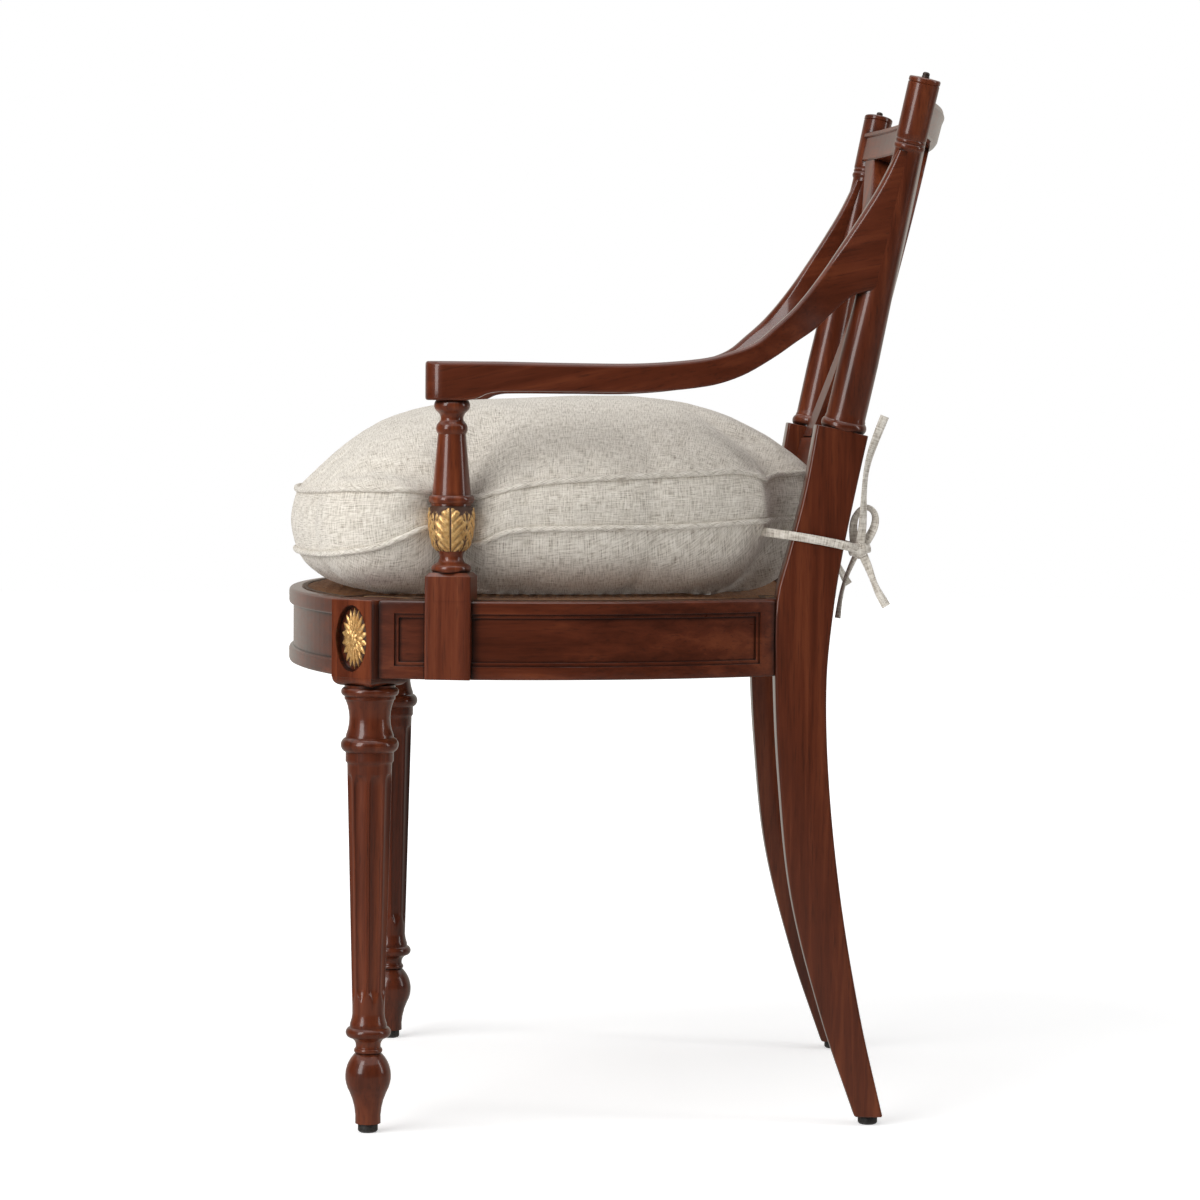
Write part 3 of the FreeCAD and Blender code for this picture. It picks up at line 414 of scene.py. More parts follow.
def drawn(outline, step=9.0):
    """Points of an outline: a pair is a straight run, four numbers are an arc by its middle."""
    points = [Vector(outline[0])]
    for stop in outline[1:]:
        last = Vector(stop[-2:])
        if len(stop) == 4:
            first = points[-1].copy()
            middle = Vector(stop[:2])
            chord = (middle - first, last - first)
            cross = 2 * (chord[0].x * chord[1].y - chord[0].y * chord[1].x)
            lengths = (chord[0].length_squared, chord[1].length_squared)
            centre = first + Vector((
                (chord[1].y * lengths[0] - chord[0].y * lengths[1]) / cross,
                (chord[0].x * lengths[1] - chord[1].x * lengths[0]) / cross,
            ))
            start = math.atan2(*reversed(first - centre))
            sweep = math.atan2(*reversed(last - centre)) - start
            bend = math.atan2(*reversed(middle - centre)) - start
            sweep = sweep % math.tau
            if bend % math.tau > sweep:
                sweep -= math.tau
            count = max(3, math.ceil(math.degrees(abs(sweep)) / step))
            radius = (first - centre).length
            for index in range(1, count):
                angle = start + sweep * index / count
                points.append(centre + Vector((math.cos(angle), math.sin(angle))) * radius)
        points.append(last)
    return points


def rings(sections, looped=False):
    """Faces that join rings of points, with a cap at each end or looped round to the first."""
    points = []
    faces = []
    count = len(sections[0])
    for number, section in enumerate(sections):
        points.extend(section)
        if number:
            low = (number - 1) * count
            for index in range(count):
                beside = (index + 1) % count
                faces.append((low + index, low + beside, low + count + beside, low + count + index))
    low = len(points) - count
    if looped:
        for index in range(count):
            beside = (index + 1) % count
            faces.append((low + index, low + beside, beside, index))
    else:
        faces += [tuple(range(count)), tuple(range(low, len(points)))]
    return points, faces


def joined(parts):
    """Several point and face lists as one."""
    points = []
    faces = []
    for more_points, more_faces in parts:
        start = len(points)
        points.extend(more_points)
        faces.extend(tuple(start + index for index in face) for face in more_faces)
    return points, faces


def sliced(form, gap):
    """Cut a mesh across by level and upright planes, so that its flat faces have points to hold wax and
    painted shade.
    """
    for axis in range(3):
        low = min(point.co[axis] for point in form.verts)
        high = max(point.co[axis] for point in form.verts)
        across_axis = Vector([float(other == axis) for other in range(3)])
        for number in range(1, math.ceil((high - low) / gap)):
            everything = form.verts[:] + form.edges[:] + form.faces[:]
            spot = across_axis * (low + gap * number)
            bmesh.ops.bisect_plane(form, geom=everything, dist=1e-5, plane_co=spot, plane_no=across_axis)


def dense(profile, gap):
    """The same profile with points no further apart than a gap."""
    points = [profile[0]]
    for point in profile[1:]:
        count = max(1, math.ceil((point - points[-1]).length / gap))
        start = points[-1]
        points.extend(start.lerp(point, index / count) for index in range(1, count + 1))
    return points


# A paler copy of the mahogany for the front legs and arm supports: painted light, standing in for the floor's
# bounce and haze on these lower parts.
mahogany_painted_paler = mahogany("mahogany painted paler", "Z", pale=1.15)
leg_profile = drawn([
    (0.0113, 0.008), (0.0122, 0.023, 0.0164, 0.036), (0.0201, 0.053, 0.0126, 0.0695), (0.0112, 0.0705),
    (0.0126, 0.073, 0.0112, 0.0755), (0.0114, 0.080, 0.0162, 0.0845), (0.0200, 0.0894, 0.0164, 0.0940),
    (0.0162, 0.0970), (0.0147, 0.102, 0.01425, shaft_low), (0.01975, shaft_high), (0.0212, 0.330),
    (0.0212, 0.338), (0.0255, 0.3445, 0.0212, 0.351), (0.0210, 0.353), (0.0181, 0.367, 0.0214, 0.384),
    (0.0224, 0.385), (0.0224, 0.3875), (0.0254, 0.3915, 0.0224, 0.3955), (0.0224, 0.3975),
])
leg_profile = dense(leg_profile, 0.0018)
column_angles = []
for flute in range(flute_count):
    middle = math.tau * flute / flute_count
    for index in range(13):
        column_angles.append(middle + flute_half * math.sin(math.pi * (index / 12 - 0.5)))
    column_angles.append(middle + math.pi / flute_count)
leg_sections = []
for point in leg_profile:
    ring = []
    low_end = held((point.y - flute_low) / flute_low_run)
    high_end = held((flute_high - point.y) / flute_high_run)
    full = low_end ** 2 * (3 - 2 * low_end) * math.sqrt(1 - (1 - high_end) ** 2)
    for angle in column_angles:
        apart = (angle + math.pi / flute_count) % (math.tau / flute_count) - math.pi / flute_count
        hollow = max(0.0, 1 - (apart / (flute_half * max(full, 1e-6))) ** 2) if full > 0 else 0.0
        radius = point.x * (1 - flute_depth * math.sqrt(hollow) * full)
        bearing = angle + math.pi / flute_count
        ring.append((leg_x + radius * math.cos(bearing), leg_y + radius * math.sin(bearing), point.y))
    leg_sections.append(ring)
leg_shape = rings(leg_sections)


def square_ring(half, height, round_off):
    """A square with rounded corners, set cornerwise over the leg."""
    ring = []
    for corner in range(4):
        for index in range(4):
            angle = math.pi / 2 * (corner + index / 3)
            inner = half - round_off
            spot = (
                inner * (1 if corner in (0, 3) else -1) + round_off * math.cos(angle),
                inner * (1 if corner in (0, 1) else -1) + round_off * math.sin(angle),
            )
            ring.append((
                leg_x + spot[0] * math.cos(block_turn) - spot[1] * math.sin(block_turn),
                leg_y + spot[0] * math.sin(block_turn) + spot[1] * math.cos(block_turn),
                height,
            ))
    return ring


block_profile = drawn([
    (block_half - 0.0075, block_low), (block_half - 0.0022, block_low + 0.0022, block_half - 0.0004, 0.4042),
    (block_half, 0.4046), (block_half, block_high - 0.0008), (block_half - 0.0008, block_high),
])
block_shape = rings([square_ring(point.x, point.y, 0.0009) for point in block_profile])
oval_tall = 0.0293
oval_wide = 0.0185
oval_sink = 0.005
oval_steps = 72
outward = Vector((math.cos(block_turn), math.sin(block_turn), 0))
sideways = Vector((-math.sin(block_turn), math.cos(block_turn), 0))
oval_middle = Vector((leg_x, leg_y, 0.439)) + outward * block_half
oval_rings = []
for deep, grow in ((0.004, 1.0), (0.0, 1.0), (-oval_sink, 0.985)):
    ring = []
    for index in range(oval_steps):
        angle = math.tau * index / oval_steps
        reach = sideways * (oval_wide * grow * math.cos(angle))
        rise = Vector((0, 0, oval_tall * grow * math.sin(angle)))
        ring.append(oval_middle + outward * deep + reach + rise)
    oval_rings.append(ring)


def worked(points, faces, other, operation, gap):
    """A closed shape with another cut out of it or added to it, its points close enough for wax and painted
    shade.
    """
    made = []
    for number, (these, those) in enumerate(((points, faces), other)):
        body = bpy.data.objects.new("cut%d" % number, meshed("cut%d" % number, these, those))
        scene.collection.objects.link(body)
        made.append(body)
    tool = made[0].modifiers.new("cut", "BOOLEAN")
    tool.operation = operation
    tool.solver = "EXACT"
    tool.object = made[1]
    form = bmesh.new()
    form.from_mesh(made[0].evaluated_get(bpy.context.evaluated_depsgraph_get()).to_mesh())
    sliced(form, gap)
    form.verts.index_update()
    points = [point.co.copy() for point in form.verts]
    faces = [tuple(corner.index for corner in face.verts) for face in form.faces]
    form.free()
    for body in made:
        mesh = body.data
        bpy.data.objects.remove(body)
        bpy.data.meshes.remove(mesh)
    return points, faces


block_shape = worked(*block_shape, rings(oval_rings), "DIFFERENCE", 0.004)
leg_all = joined([leg_shape, block_shape])
both_sides("fluted_leg", leg_all, mahogany_painted_paler, "mahogany", "front_leg")


# Back posts: mahogany sabre legs sawn in one with the square posts, then turned round above the seat, with
# a bead at the foot of the shaft, a double bead at the neck and a plain capital.
post_x = 0.1908
foot_x = 0.198
post_half = 0.020
foot_half = 0.0135
post_foot = 0.008
post_shoulder = 0.624
taper_top = 0.4045
lean_from = 0.52
post_edge = 0.0026
post_tuck = 0.0008
post_steps = 56
joint = Vector((post_x, 0.2012, post_shoulder))
rake = math.atan(0.2145)
splay = math.atan(0.1089)
post_edges = [
    (post_foot, 0.2175, 0.2427), (0.0960, 0.1870, 0.2220), (0.2040, 0.1590, 0.2029), (0.3110, 0.1468, 0.1911),
    (0.4010, 0.1419, 0.1882), (0.4720, 0.1422, 0.1946), (0.5120, 0.1520, 0.2008), (0.5650, 0.1660, 0.2110),
    (0.6400, 0.1796, 0.2260),
]


def bend_shares(share):
    """How much the ends of a smooth span and the slopes at them count at a share of the way."""
    square, cube = share ** 2, share ** 3
    return 2 * cube - 3 * square + 1, cube - 2 * square + share, 3 * square - 2 * cube, cube - square


def between(table, height):
    """Smooth values of a table at a height: its first column is the height."""
    last = len(table) - 1
    spot = max(index for index in range(last) if table[index][0] <= max(height, table[0][0]))
    first, second = table[spot], table[spot + 1]
    before, after = table[max(spot - 1, 0)], table[min(spot + 2, last)]
    span = second[0] - first[0]
    at_first, leaving, at_second, arriving = bend_shares((height - first[0]) / span)
    values = []
    for column in range(1, len(first)):
        slope_first = (second[column] - before[column]) / max(second[0] - before[0], 1e-9) * span
        slope_second = (after[column] - first[column]) / max(after[0] - first[0], 1e-9) * span
        values.append(
            at_first * first[column] + leaving * slope_first
            + at_second * second[column] + arriving * slope_second
        )
    return values


def round_box(low_x, high_x, low_y, high_y, corner, steps=5):
    """A rounded rectangle in plan, anticlockwise from its high corner."""
    ring = []
    corners = ((high_x, high_y), (low_x, high_y), (low_x, low_y), (high_x, low_y))
    for number, (x, y) in enumerate(corners):
        middle = (x - corner * (1 if x == high_x else -1), y - corner * (1 if y == high_y else -1))
        for index in range(steps):
            angle = math.pi / 2 * (number + index / (steps - 1))
            ring.append((middle[0] + corner * math.cos(angle), middle[1] + corner * math.sin(angle)))
    return ring


mahogany_upright = mahogany("mahogany upright", "Z")
post_heights = [post_foot, 0.009, 0.012] + [0.02 + 0.0116 * index for index in range(52)]
post_heights += [post_shoulder - 0.0005, post_shoulder]
post_sections = []
for height in post_heights:
    front, back = between(post_edges, height)
    share = held((height - post_foot) / (taper_top - post_foot))
    middle = foot_x + (post_x - foot_x) * share
    half = foot_half + (post_half - foot_half) * share
    tuck = post_tuck if height in (post_foot, post_shoulder) else 0.0
    lean = held((height - lean_from) / (post_shoulder - lean_from))
    ring = []
    inner, outer = middle - half + tuck, middle + half - tuck
    for x, y in round_box(inner, outer, front + tuck, back - tuck, post_edge):
        ring.append((x, y, height - (y - joint.y) * math.tan(rake) * lean))
    post_sections.append(ring)
post_square = rings(post_sections)
shaft_thick, shaft_from = 0.0177, 0.063
shaft_thin, shaft_to = 0.0124, 0.254
round_profile = dense(drawn([
    (0.0150, -0.006), (0.0150, 0.0), (0.0184, 0.0), (0.0206, 0.0048, 0.0184, 0.0094), (0.0184, 0.0106),
    (0.0178, 0.0125), (shaft_thick, shaft_from), (shaft_thin, shaft_to), (0.0126, 0.2555),
    (0.0139, 0.2582, 0.0127, 0.261), (0.0135, 0.2628, 0.0129, 0.2646), (0.01375, 0.2658),
    (0.01405, 0.3144), (0.01335, 0.3151),
    (0.01415, 0.3158), (0.01415, 0.3180), (0.01365, 0.3193, 0.01235, 0.3198), (0.0005, 0.3206),
]), 0.005)


def along_post(x, y, z):
    """A point of a turning set on the leaning, splayed axis of the left post."""
    spot = Matrix.Rotation(splay, 3, "Y") @ Vector((x, y, z))
    return joint + Matrix.Rotation(-rake, 3, "X") @ spot


def turned(profile, steps, place):
    """A turning: its profile of radii and heights swept round, each point put in its place."""
    angles = [math.tau * step / steps for step in range(steps)]
    return rings([
        [place(radius * math.cos(angle), radius * math.sin(angle), height) for angle in angles]
        for radius, height in profile
    ])


post_all = joined([post_square, turned(round_profile, post_steps, along_post)])
both_sides("sabre_post", post_all, mahogany_upright, "mahogany", "back_post")


# Seat rails, back rails and lattice: sawn and moulded mahogany, tenoned and half lapped together.
# Planing and polish have eased every edge.
def eased(node, finish, slot, width=0.0007):
    """A copy of a sawn piece with its edges eased."""
    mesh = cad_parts[node].data.copy()
    form = bmesh.new()
    form.from_mesh(mesh)
    bmesh.ops.remove_doubles(form, verts=form.verts, dist=2e-5)
    bmesh.ops.dissolve_limit(form, angle_limit=math.radians(0.08), verts=form.verts, edges=form.edges)
    shared = [edge for edge in form.edges if len(edge.link_faces) == 2]
    sharp = [edge for edge in shared if edge.calc_face_angle() > math.radians(28)]
    bmesh.ops.bevel(
        form, geom=sharp, offset=width, segments=2, profile=0.5, affect="EDGES", clamp_overlap=True,
    )
    sliced(form, 0.0085)
    bmesh.ops.triangulate(form, faces=[face for face in form.faces if len(face.verts) > 4])
    form.to_mesh(mesh)
    form.free()
    mesh.name = node + "_eased"
    made = dress(mesh, finish, slot, [node], 30.0)
    made.modifiers.new("flat faces", "WEIGHTED_NORMAL").keep_sharp = True


mahogany_wide = mahogany("mahogany side to side", "X")
mahogany_deep = mahogany("mahogany front to back", "Y")
for node in ("front_seat_rail", "back_seat_rail", "crest_rail", "lower_back_rail"):
    eased(node, mahogany_wide, "mahogany")
for side in ("left", "right"):
    eased(side + "_side_rail", mahogany_deep, "mahogany")
    eased(side + "_outer_lattice_bar", mahogany_upright, "mahogany")
    eased(side + "_inner_lattice_bar", mahogany_upright, "mahogany")


# Cane seat: six-way weaving of split cane over the opening, its ends pressed into a groove round the
# seat and held down by a glued reed spline.
def fibred(finish, fibre, stops, roughness, strength, distance):
    """Finish a surface by its fibre: the colours at its stops, how rough it is and its bump."""
    finish.coat({
        "Base Color": finish.ramp(fibre, stops), "Roughness": fibre * 0.2 + roughness,
        "Normal": finish.bump(fibre, strength, distance),
    })


reed = Finish("reed", {"Specular IOR Level": 0.4})
reed_fibre = reed.grain(reed.mapped((1.0, 1.0, 0.4)), 420.0, 4.0, 0.6)
reed_browns = [(0.25, (0.046, 0.023, 0.012)), (0.75, (0.110, 0.062, 0.034))]
fibred(reed, reed_fibre, reed_browns, 0.42, 0.2, 0.0005)
cane = Finish("cane", {"Specular IOR Level": 0.5, "Coat Weight": 0.2, "Coat Roughness": 0.25})
cane_skin = cane.grain(cane.mapped((1.0, 1.0, 1.0)), 260.0, 4.0, 0.6)
cane_browns = [(0.25, (0.220, 0.092, 0.040)), (0.75, (0.500, 0.270, 0.135))]
fibred(cane, cane_skin, cane_browns, 0.35, 0.15, 0.0004)
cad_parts["cane_spline"].material_slots[0].material = reed.material

cane_top = 0.4735
cane_middle = Vector((0, -0.06))
cane_pitch = 0.0125
pair_half = 0.0016
strand_width = 0.0024
strand_thickness = 0.0005
strand_lowest = cane_top - 0.0014
strand_step = 0.0004
shortest_strand = 0.008
rim_spots = set()
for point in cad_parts["cane_panel"].data.vertices:
    if point.co.z > cane_top - 1e-4:
        rim_spots.add((round(point.co.x, 5), round(point.co.y, 5)))
cane_rim = sorted(
    (Vector(spot) for spot in rim_spots), key=lambda spot: math.atan2(spot.y - cane_middle.y, spot.x),
)


def strand_ends(start, run):
    """Where a straight strand meets the rim of the cane."""
    meets = []
    for first, second in zip(cane_rim, cane_rim[1:] + cane_rim[:1]):
        edge = second - first
        cross = run.x * edge.y - run.y * edge.x
        if abs(cross) > 1e-12:
            gap = first - start
            share = (gap.x * run.y - gap.y * run.x) / cross
            if 0 <= share <= 1:
                meets.append((gap.x * edge.y - gap.y * edge.x) / cross)
    return (start + run * min(meets), start + run * max(meets)) if len(meets) > 1 else None


strand_points = []
for level, heading in enumerate((0.0, math.pi / 2, math.pi / 4, -math.pi / 4)):
    run = Vector((math.cos(heading), math.sin(heading)))
    aside = Vector((-run.y, run.x))
    for index in range(-60, 61):
        if level < 2:
            offsets = (index * cane_pitch - pair_half, index * cane_pitch + pair_half)
        else:
            offsets = ((index + 0.5) * cane_pitch / math.sqrt(2),)
        for offset in offsets:
            ends = strand_ends(cane_middle + aside * offset, run)
            if ends and (ends[1] - ends[0]).length > shortest_strand:
                height = strand_lowest + strand_step * level
                strand_points += [(*ends[0], height), (*ends[1], height)]


def repeat_tree(name, sizes):
    """A node tree with inputs for its sizes, and an end that makes instances plain and gives their finish."""
    tree = bpy.data.node_groups.new(name, "GeometryNodeTree")
    for label, kind in (("Geometry", "Geometry"), *sizes, ("Finish", "Material")):
        tree.interface.new_socket(label, in_out="INPUT", socket_type="NodeSocket" + kind)
    tree.interface.new_socket("Geometry", in_out="OUTPUT", socket_type="NodeSocketGeometry")
    given = tree.nodes.new("NodeGroupInput").outputs
    plain = tree.nodes.new("GeometryNodeRealizeInstances")
    finish = tree.nodes.new("GeometryNodeSetMaterial")
    result = tree.nodes.new("NodeGroupOutput")
    wired(tree, (
        (plain.outputs["Geometry"], finish.inputs["Geometry"]), (given["Finish"], finish.inputs["Material"]),
        (finish.outputs["Geometry"], result.inputs["Geometry"]),
    ))
    return tree, given, plain.inputs["Geometry"]


def grown(name, mesh, tree, inputs):
    """The plain mesh that a node tree makes of a mesh."""
    holder = bpy.data.objects.new(name + "_lines", mesh)
    scene.collection.objects.link(holder)
    maker = holder.modifiers.new("maker", "NODES")
    maker.node_group = tree
    for item in tree.interface.items_tree:
        if item.in_out == "INPUT" and item.name in inputs:
            maker[item.identifier] = inputs[item.name]
    made = bpy.data.meshes.new_from_object(holder.evaluated_get(bpy.context.evaluated_depsgraph_get()))
    holder.modifiers.clear()
    bpy.data.objects.remove(holder)
    made.name = name
    return made


strand_tree, given, shown = repeat_tree("cane strands", (("Width", "Float"), ("Thickness", "Float")))
lines = strand_tree.nodes.new("GeometryNodeMeshToCurve")
section = strand_tree.nodes.new("GeometryNodeCurvePrimitiveQuadrilateral")
swept = strand_tree.nodes.new("GeometryNodeCurveToMesh")
swept.inputs["Fill Caps"].default_value = True
wired(strand_tree, (
    (given["Geometry"], lines.inputs["Mesh"]), (given["Width"], section.inputs["Width"]),
    (given["Thickness"], section.inputs["Height"]), (lines.outputs["Curve"], swept.inputs["Curve"]),
    (section.outputs["Curve"], swept.inputs["Profile Curve"]), (swept.outputs["Mesh"], shown),
))
strand_lines = [(index, index + 1) for index in range(0, len(strand_points), 2)]
strand_mesh = bpy.data.meshes.new("strands")
strand_mesh.from_pydata(strand_points, strand_lines, [])
strand_sizes = {"Width": strand_width, "Thickness": strand_thickness, "Finish": cane.material}
dress(grown("woven_cane", strand_mesh, strand_tree, strand_sizes), cane, "cane", ["cane_panel"], 30.0)


# Corner blocks: birch braces across the seat's four corners, left as they were sawn. They are glued
# and screwed to the rails from inside.
birch = Finish("birch", {"Specular IOR Level": 0.3})
saw_marks = birch.grain(birch.mapped((1.0, 0.08, 1.0), (0, 0, 0.8)), 240.0, 5.0, 0.6)
birch_browns = [(0.2, (0.290, 0.170, 0.085)), (0.8, (0.480, 0.320, 0.180))]
fibred(birch, saw_marks, birch_browns, 0.6, 0.3, 0.0008)
sawn_edge = 0.001
for side in ("left", "right"):
    for end in ("front", "rear"):
        eased(side + "_" + end + "_corner_block", birch, "secondary_wood", sawn_edge)


# Arm supports: short mahogany balusters turned in one with a square block, whose tongue is let down the
# face of the side rail. A bare dowel part runs through the gilt cup.
support_x = 0.268
support_y = -0.1462
support_turn = math.radians(-9.0)
support_depth = 0.035
support_width = 0.0405
support_tongue = 0.0125
support_low = 0.4045
support_high = 0.498
support_profile = dense(drawn([
    (0.0155, 0.4975), (0.0174, 0.5016, 0.0145, 0.5052), (0.0120, 0.5066), (0.0104, 0.5100, 0.0112, 0.5150),
    (0.0122, 0.5165), (0.0122, 0.5560), (0.0180, 0.5560), (0.0180, 0.5578), (0.0202, 0.5616, 0.0180, 0.5654),
    (0.0170, 0.5654), (0.0122, 0.6185), (0.0139, 0.6237, 0.0122, 0.6282), (0.0102, 0.6305),
    (0.0104, 0.6345, 0.0132, 0.6382), (0.0158, 0.6434, 0.0140, 0.6480), (0.0070, 0.6482),
]), 0.004)


def on_support(x, y, z):
    """A point by the arm support's own axes."""
    return Vector((
        support_x + x * math.cos(support_turn) - y * math.sin(support_turn),
        support_y + x * math.sin(support_turn) + y * math.cos(support_turn),
        z,
    ))


def upright_box(low, high, ease, stops):
    """A block with rounded upright edges and the given inset at each height."""
    sections = []
    for height, inset in stops:
        plan = round_box(low[0] + inset, high[0] - inset, low[1] + inset, high[1] - inset, ease, 4)
        sections.append([on_support(x, y, height) for x, y in plan])
    return rings(sections)


half_depth = support_depth / 2
half_width = support_width / 2
outer_corner = (half_depth, half_width)
head_stops = (
    (cane_top, 0), (support_high - 0.0034, 0), (support_high - 0.0004, 0.003), (support_high, 0.0034),
)
support_head = upright_box((-half_depth, -half_width), outer_corner, 0.0012, head_stops)
tongue_stops = ((support_low, 0.0006), (support_low + 0.0006, 0), (cane_top + 0.0007, 0))
support_foot = upright_box((half_depth - support_tongue, -half_width), outer_corner, 0.0009, tongue_stops)
support_block = worked(*support_head, support_foot, "UNION", 0.005)
support_all = joined([turned(support_profile, post_steps, on_support), support_block])
both_sides("arm_baluster", support_all, mahogany_painted_paler, "mahogany", "arm_support")


# Arms: shaped from one thick mahogany plank each, with a level hand rest that sweeps up and in to die
# into the post just under its capital. The upper edges are well rounded, the lower ones only broken.
arm_wood = mahogany("mahogany arm", "Y", (0.20, 0, 0), 0.7)
arm_pairs = [
    ((-0.1696, 0.6820), (-0.1696, 0.6480)), ((-0.1690, 0.6820), (-0.1690, 0.6480)),
    ((-0.1660, 0.6820), (-0.1660, 0.6480)), ((-0.1580, 0.6820), (-0.1580, 0.6480)),
    ((-0.1500, 0.6820), (-0.1500, 0.6480)), ((-0.1350, 0.6820), (-0.1340, 0.6480)),
    ((-0.1270, 0.6820), (-0.1240, 0.6500)), ((-0.1180, 0.6820), (-0.1150, 0.6540)),
    ((-0.1040, 0.6820), (-0.1030, 0.6558)), ((-0.0350, 0.6812), (-0.0350, 0.6560)),
    ((0.0200, 0.6816), (0.0220, 0.6564)), ((0.0700, 0.6860), (0.0770, 0.6620)),
    ((0.0950, 0.6918), (0.1070, 0.6713)), ((0.1190, 0.7010), (0.1350, 0.6872)),
    ((0.1370, 0.7158), (0.1560, 0.7018)), ((0.1520, 0.7295), (0.1730, 0.7135)),
    ((0.1640, 0.7430), (0.1870, 0.7265)), ((0.1740, 0.7558), (0.1980, 0.7365)),
    ((0.1840, 0.7696), (0.2080, 0.7440)), ((0.1930, 0.7830), (0.2180, 0.7470)),
    ((0.2020, 0.7966), (0.2280, 0.7500)), ((0.2150, 0.8170), (0.2370, 0.7900)),
    ((0.2290, 0.8405), (0.2455, 0.8280)), ((0.2445, 0.8715), (0.2545, 0.8695)),
]
arm_plan = [
    (-0.1696, 0.2684, 0.0360), (-0.0350, 0.2636, 0.0328), (0.0700, 0.2500, 0.0310), (0.1460, 0.2280, 0.0290),
    (0.1850, 0.2103, 0.0256), (0.2150, 0.2102, 0.0240), (0.2320, 0.2124, 0.0226), (0.2620, 0.2190, 0.0200),
]


def through(points, count):
    """Points on a smooth line through others, so many to each span."""
    line = []
    for index in range(len(points) - 1):
        before = points[max(index - 1, 0)]
        first, second = points[index], points[index + 1]
        after = points[min(index + 2, len(points) - 1)]
        span = (second - first).length
        slope_first = (second - before) * (span / max(span + (first - before).length, 1e-9))
        slope_second = (after - first) * (span / max(span + (after - second).length, 1e-9))
        for step in range(count):
            at_first, leaving, at_second, arriving = bend_shares(step / count)
            line.append(
                first * at_first + slope_first * leaving + second * at_second + slope_second * arriving
            )
    line.append(points[-1])
    return line


flush_run = 0.034


def flush(plan_x, y, z):
    """The arm's outer face at a spot, led over into the outermost line of the turned post."""
    behind, over = y - joint.y, z - joint.z
    climb = (behind * math.sin(rake) + over * math.cos(rake)) / math.cos(splay)
    ahead = over * math.sin(rake) - behind * math.cos(rake)
    along_shaft = held((climb - shaft_from) / (shaft_to - shaft_from))
    radius = shaft_thick + (shaft_thin - shaft_thick) * along_shaft
    post_line = joint.x + climb * math.sin(splay) + radius / math.cos(splay) - 0.0001
    share = held((radius + flush_run - ahead) / (flush_run + radius * 0.4))
    return plan_x + (post_line - plan_x) * share * share * (3 - 2 * share)


arm_front = arm_plan[0][0]
arm_back = arm_plan[-1][0] - 0.0001
arm_corner = 0.0165
arm_edge = 0.0025
upper_ease = 0.0048
lower_ease = 0.0020
least_ease = 0.0004
arm_tops = through([Vector(pair[0]) for pair in arm_pairs], 5)
arm_bottoms = through([Vector(pair[1]) for pair in arm_pairs], 5)
arm_sections = []
for top, bottom in zip(arm_tops, arm_bottoms):
    tall = (top - bottom).length
    upper = min(upper_ease, tall * 0.32)
    lower = min(lower_ease, tall * 0.2)
    from_front = top.x - arm_front
    inset, tuck = [
        size - math.sqrt(max(0.0, size ** 2 - max(0.0, size - from_front) ** 2))
        for size in (arm_corner, arm_edge)
    ]
    ring = []
    corners = ((1, tall, upper), (-1, tall, upper), (-1, 0, lower), (1, 0, lower))
    for quarter, (way, height, ease) in enumerate(corners):
        inner_z = height - tuck - ease if height else tuck + ease
        for step in range(7):
            angle = math.pi / 2 * (quarter + step / 6)
            spot = bottom.lerp(top, (inner_z + ease * math.sin(angle)) / tall)
            centre_x, width = between(arm_plan, min(max(spot.x, arm_front), arm_back))
            corner_ease = max(least_ease, min(ease, width / 2 - inset - 0.0006))
            face_x = centre_x + way * width / 2
            if way > 0:
                face_x = flush(face_x, spot.x, spot.y)
            face_x += corner_ease * math.cos(angle) - way * (inset + corner_ease)
            ring.append((face_x, spot.x, spot.y))
    arm_sections.append(ring)
both_sides("swept_arm", rings(arm_sections), arm_wood, "mahogany", "arm")


# Gilding: oval paterae let into the leg blocks and cups of acanthus leaves on the arm supports,
# carved, gilt in burnished leaf and rubbed with dark wax; the dark in the carving's hollows is painted shade
# too.
gilding = Finish("gilding", {"Specular IOR Level": 0.5})
leaf_dark = (0.56, 0.280, 0.086, 1)
leaf_bright = (0.96, 0.640, 0.270, 1)
gilt_wax_and_shade = (0.060, 0.022, 0.009, 1)
cloud = gilding.grain(gilding.mapped((1.0, 1.0, 1.0)), 340.0, 4.0, 0.6)
speck = gilding.spread(gilding.grain(gilding.mapped((1.0, 1.0, 1.0)), 900.0, 2.0, 0.5), 0.60, 0.72)
leaf_colour = gilding.blend(gilding.spread(cloud, 0.3, 0.7), leaf_dark, leaf_bright)
# Dark wax and painted shade in the carving's hollows, with specks of wear, dull the leaf.
dulled_and_shaded = gilding.spread(gilding.wax() * 1.15 + speck * 0.35 + cloud * 0.3 - 0.15, 0.26, 0.92)
gilding.coat({
    "Base Color": gilding.blend(dulled_and_shaded, leaf_colour, gilt_wax_and_shade), "Metallic": 0.65 - dulled_and_shaded * 0.60,
    "Roughness": cloud * 0.25 + 0.24 + dulled_and_shaded * 0.2, "Normal": gilding.bump(cloud, 0.25, 0.0006),
})


def mark_wax_and_shade(made, points_wax_and_shade):
    """Write how much dark wax and painted shade lie at each point of a piece."""
    layer = made.data.attributes.new("wax", "FLOAT", "POINT")
    layer.data.foreach_set("value", points_wax_and_shade)


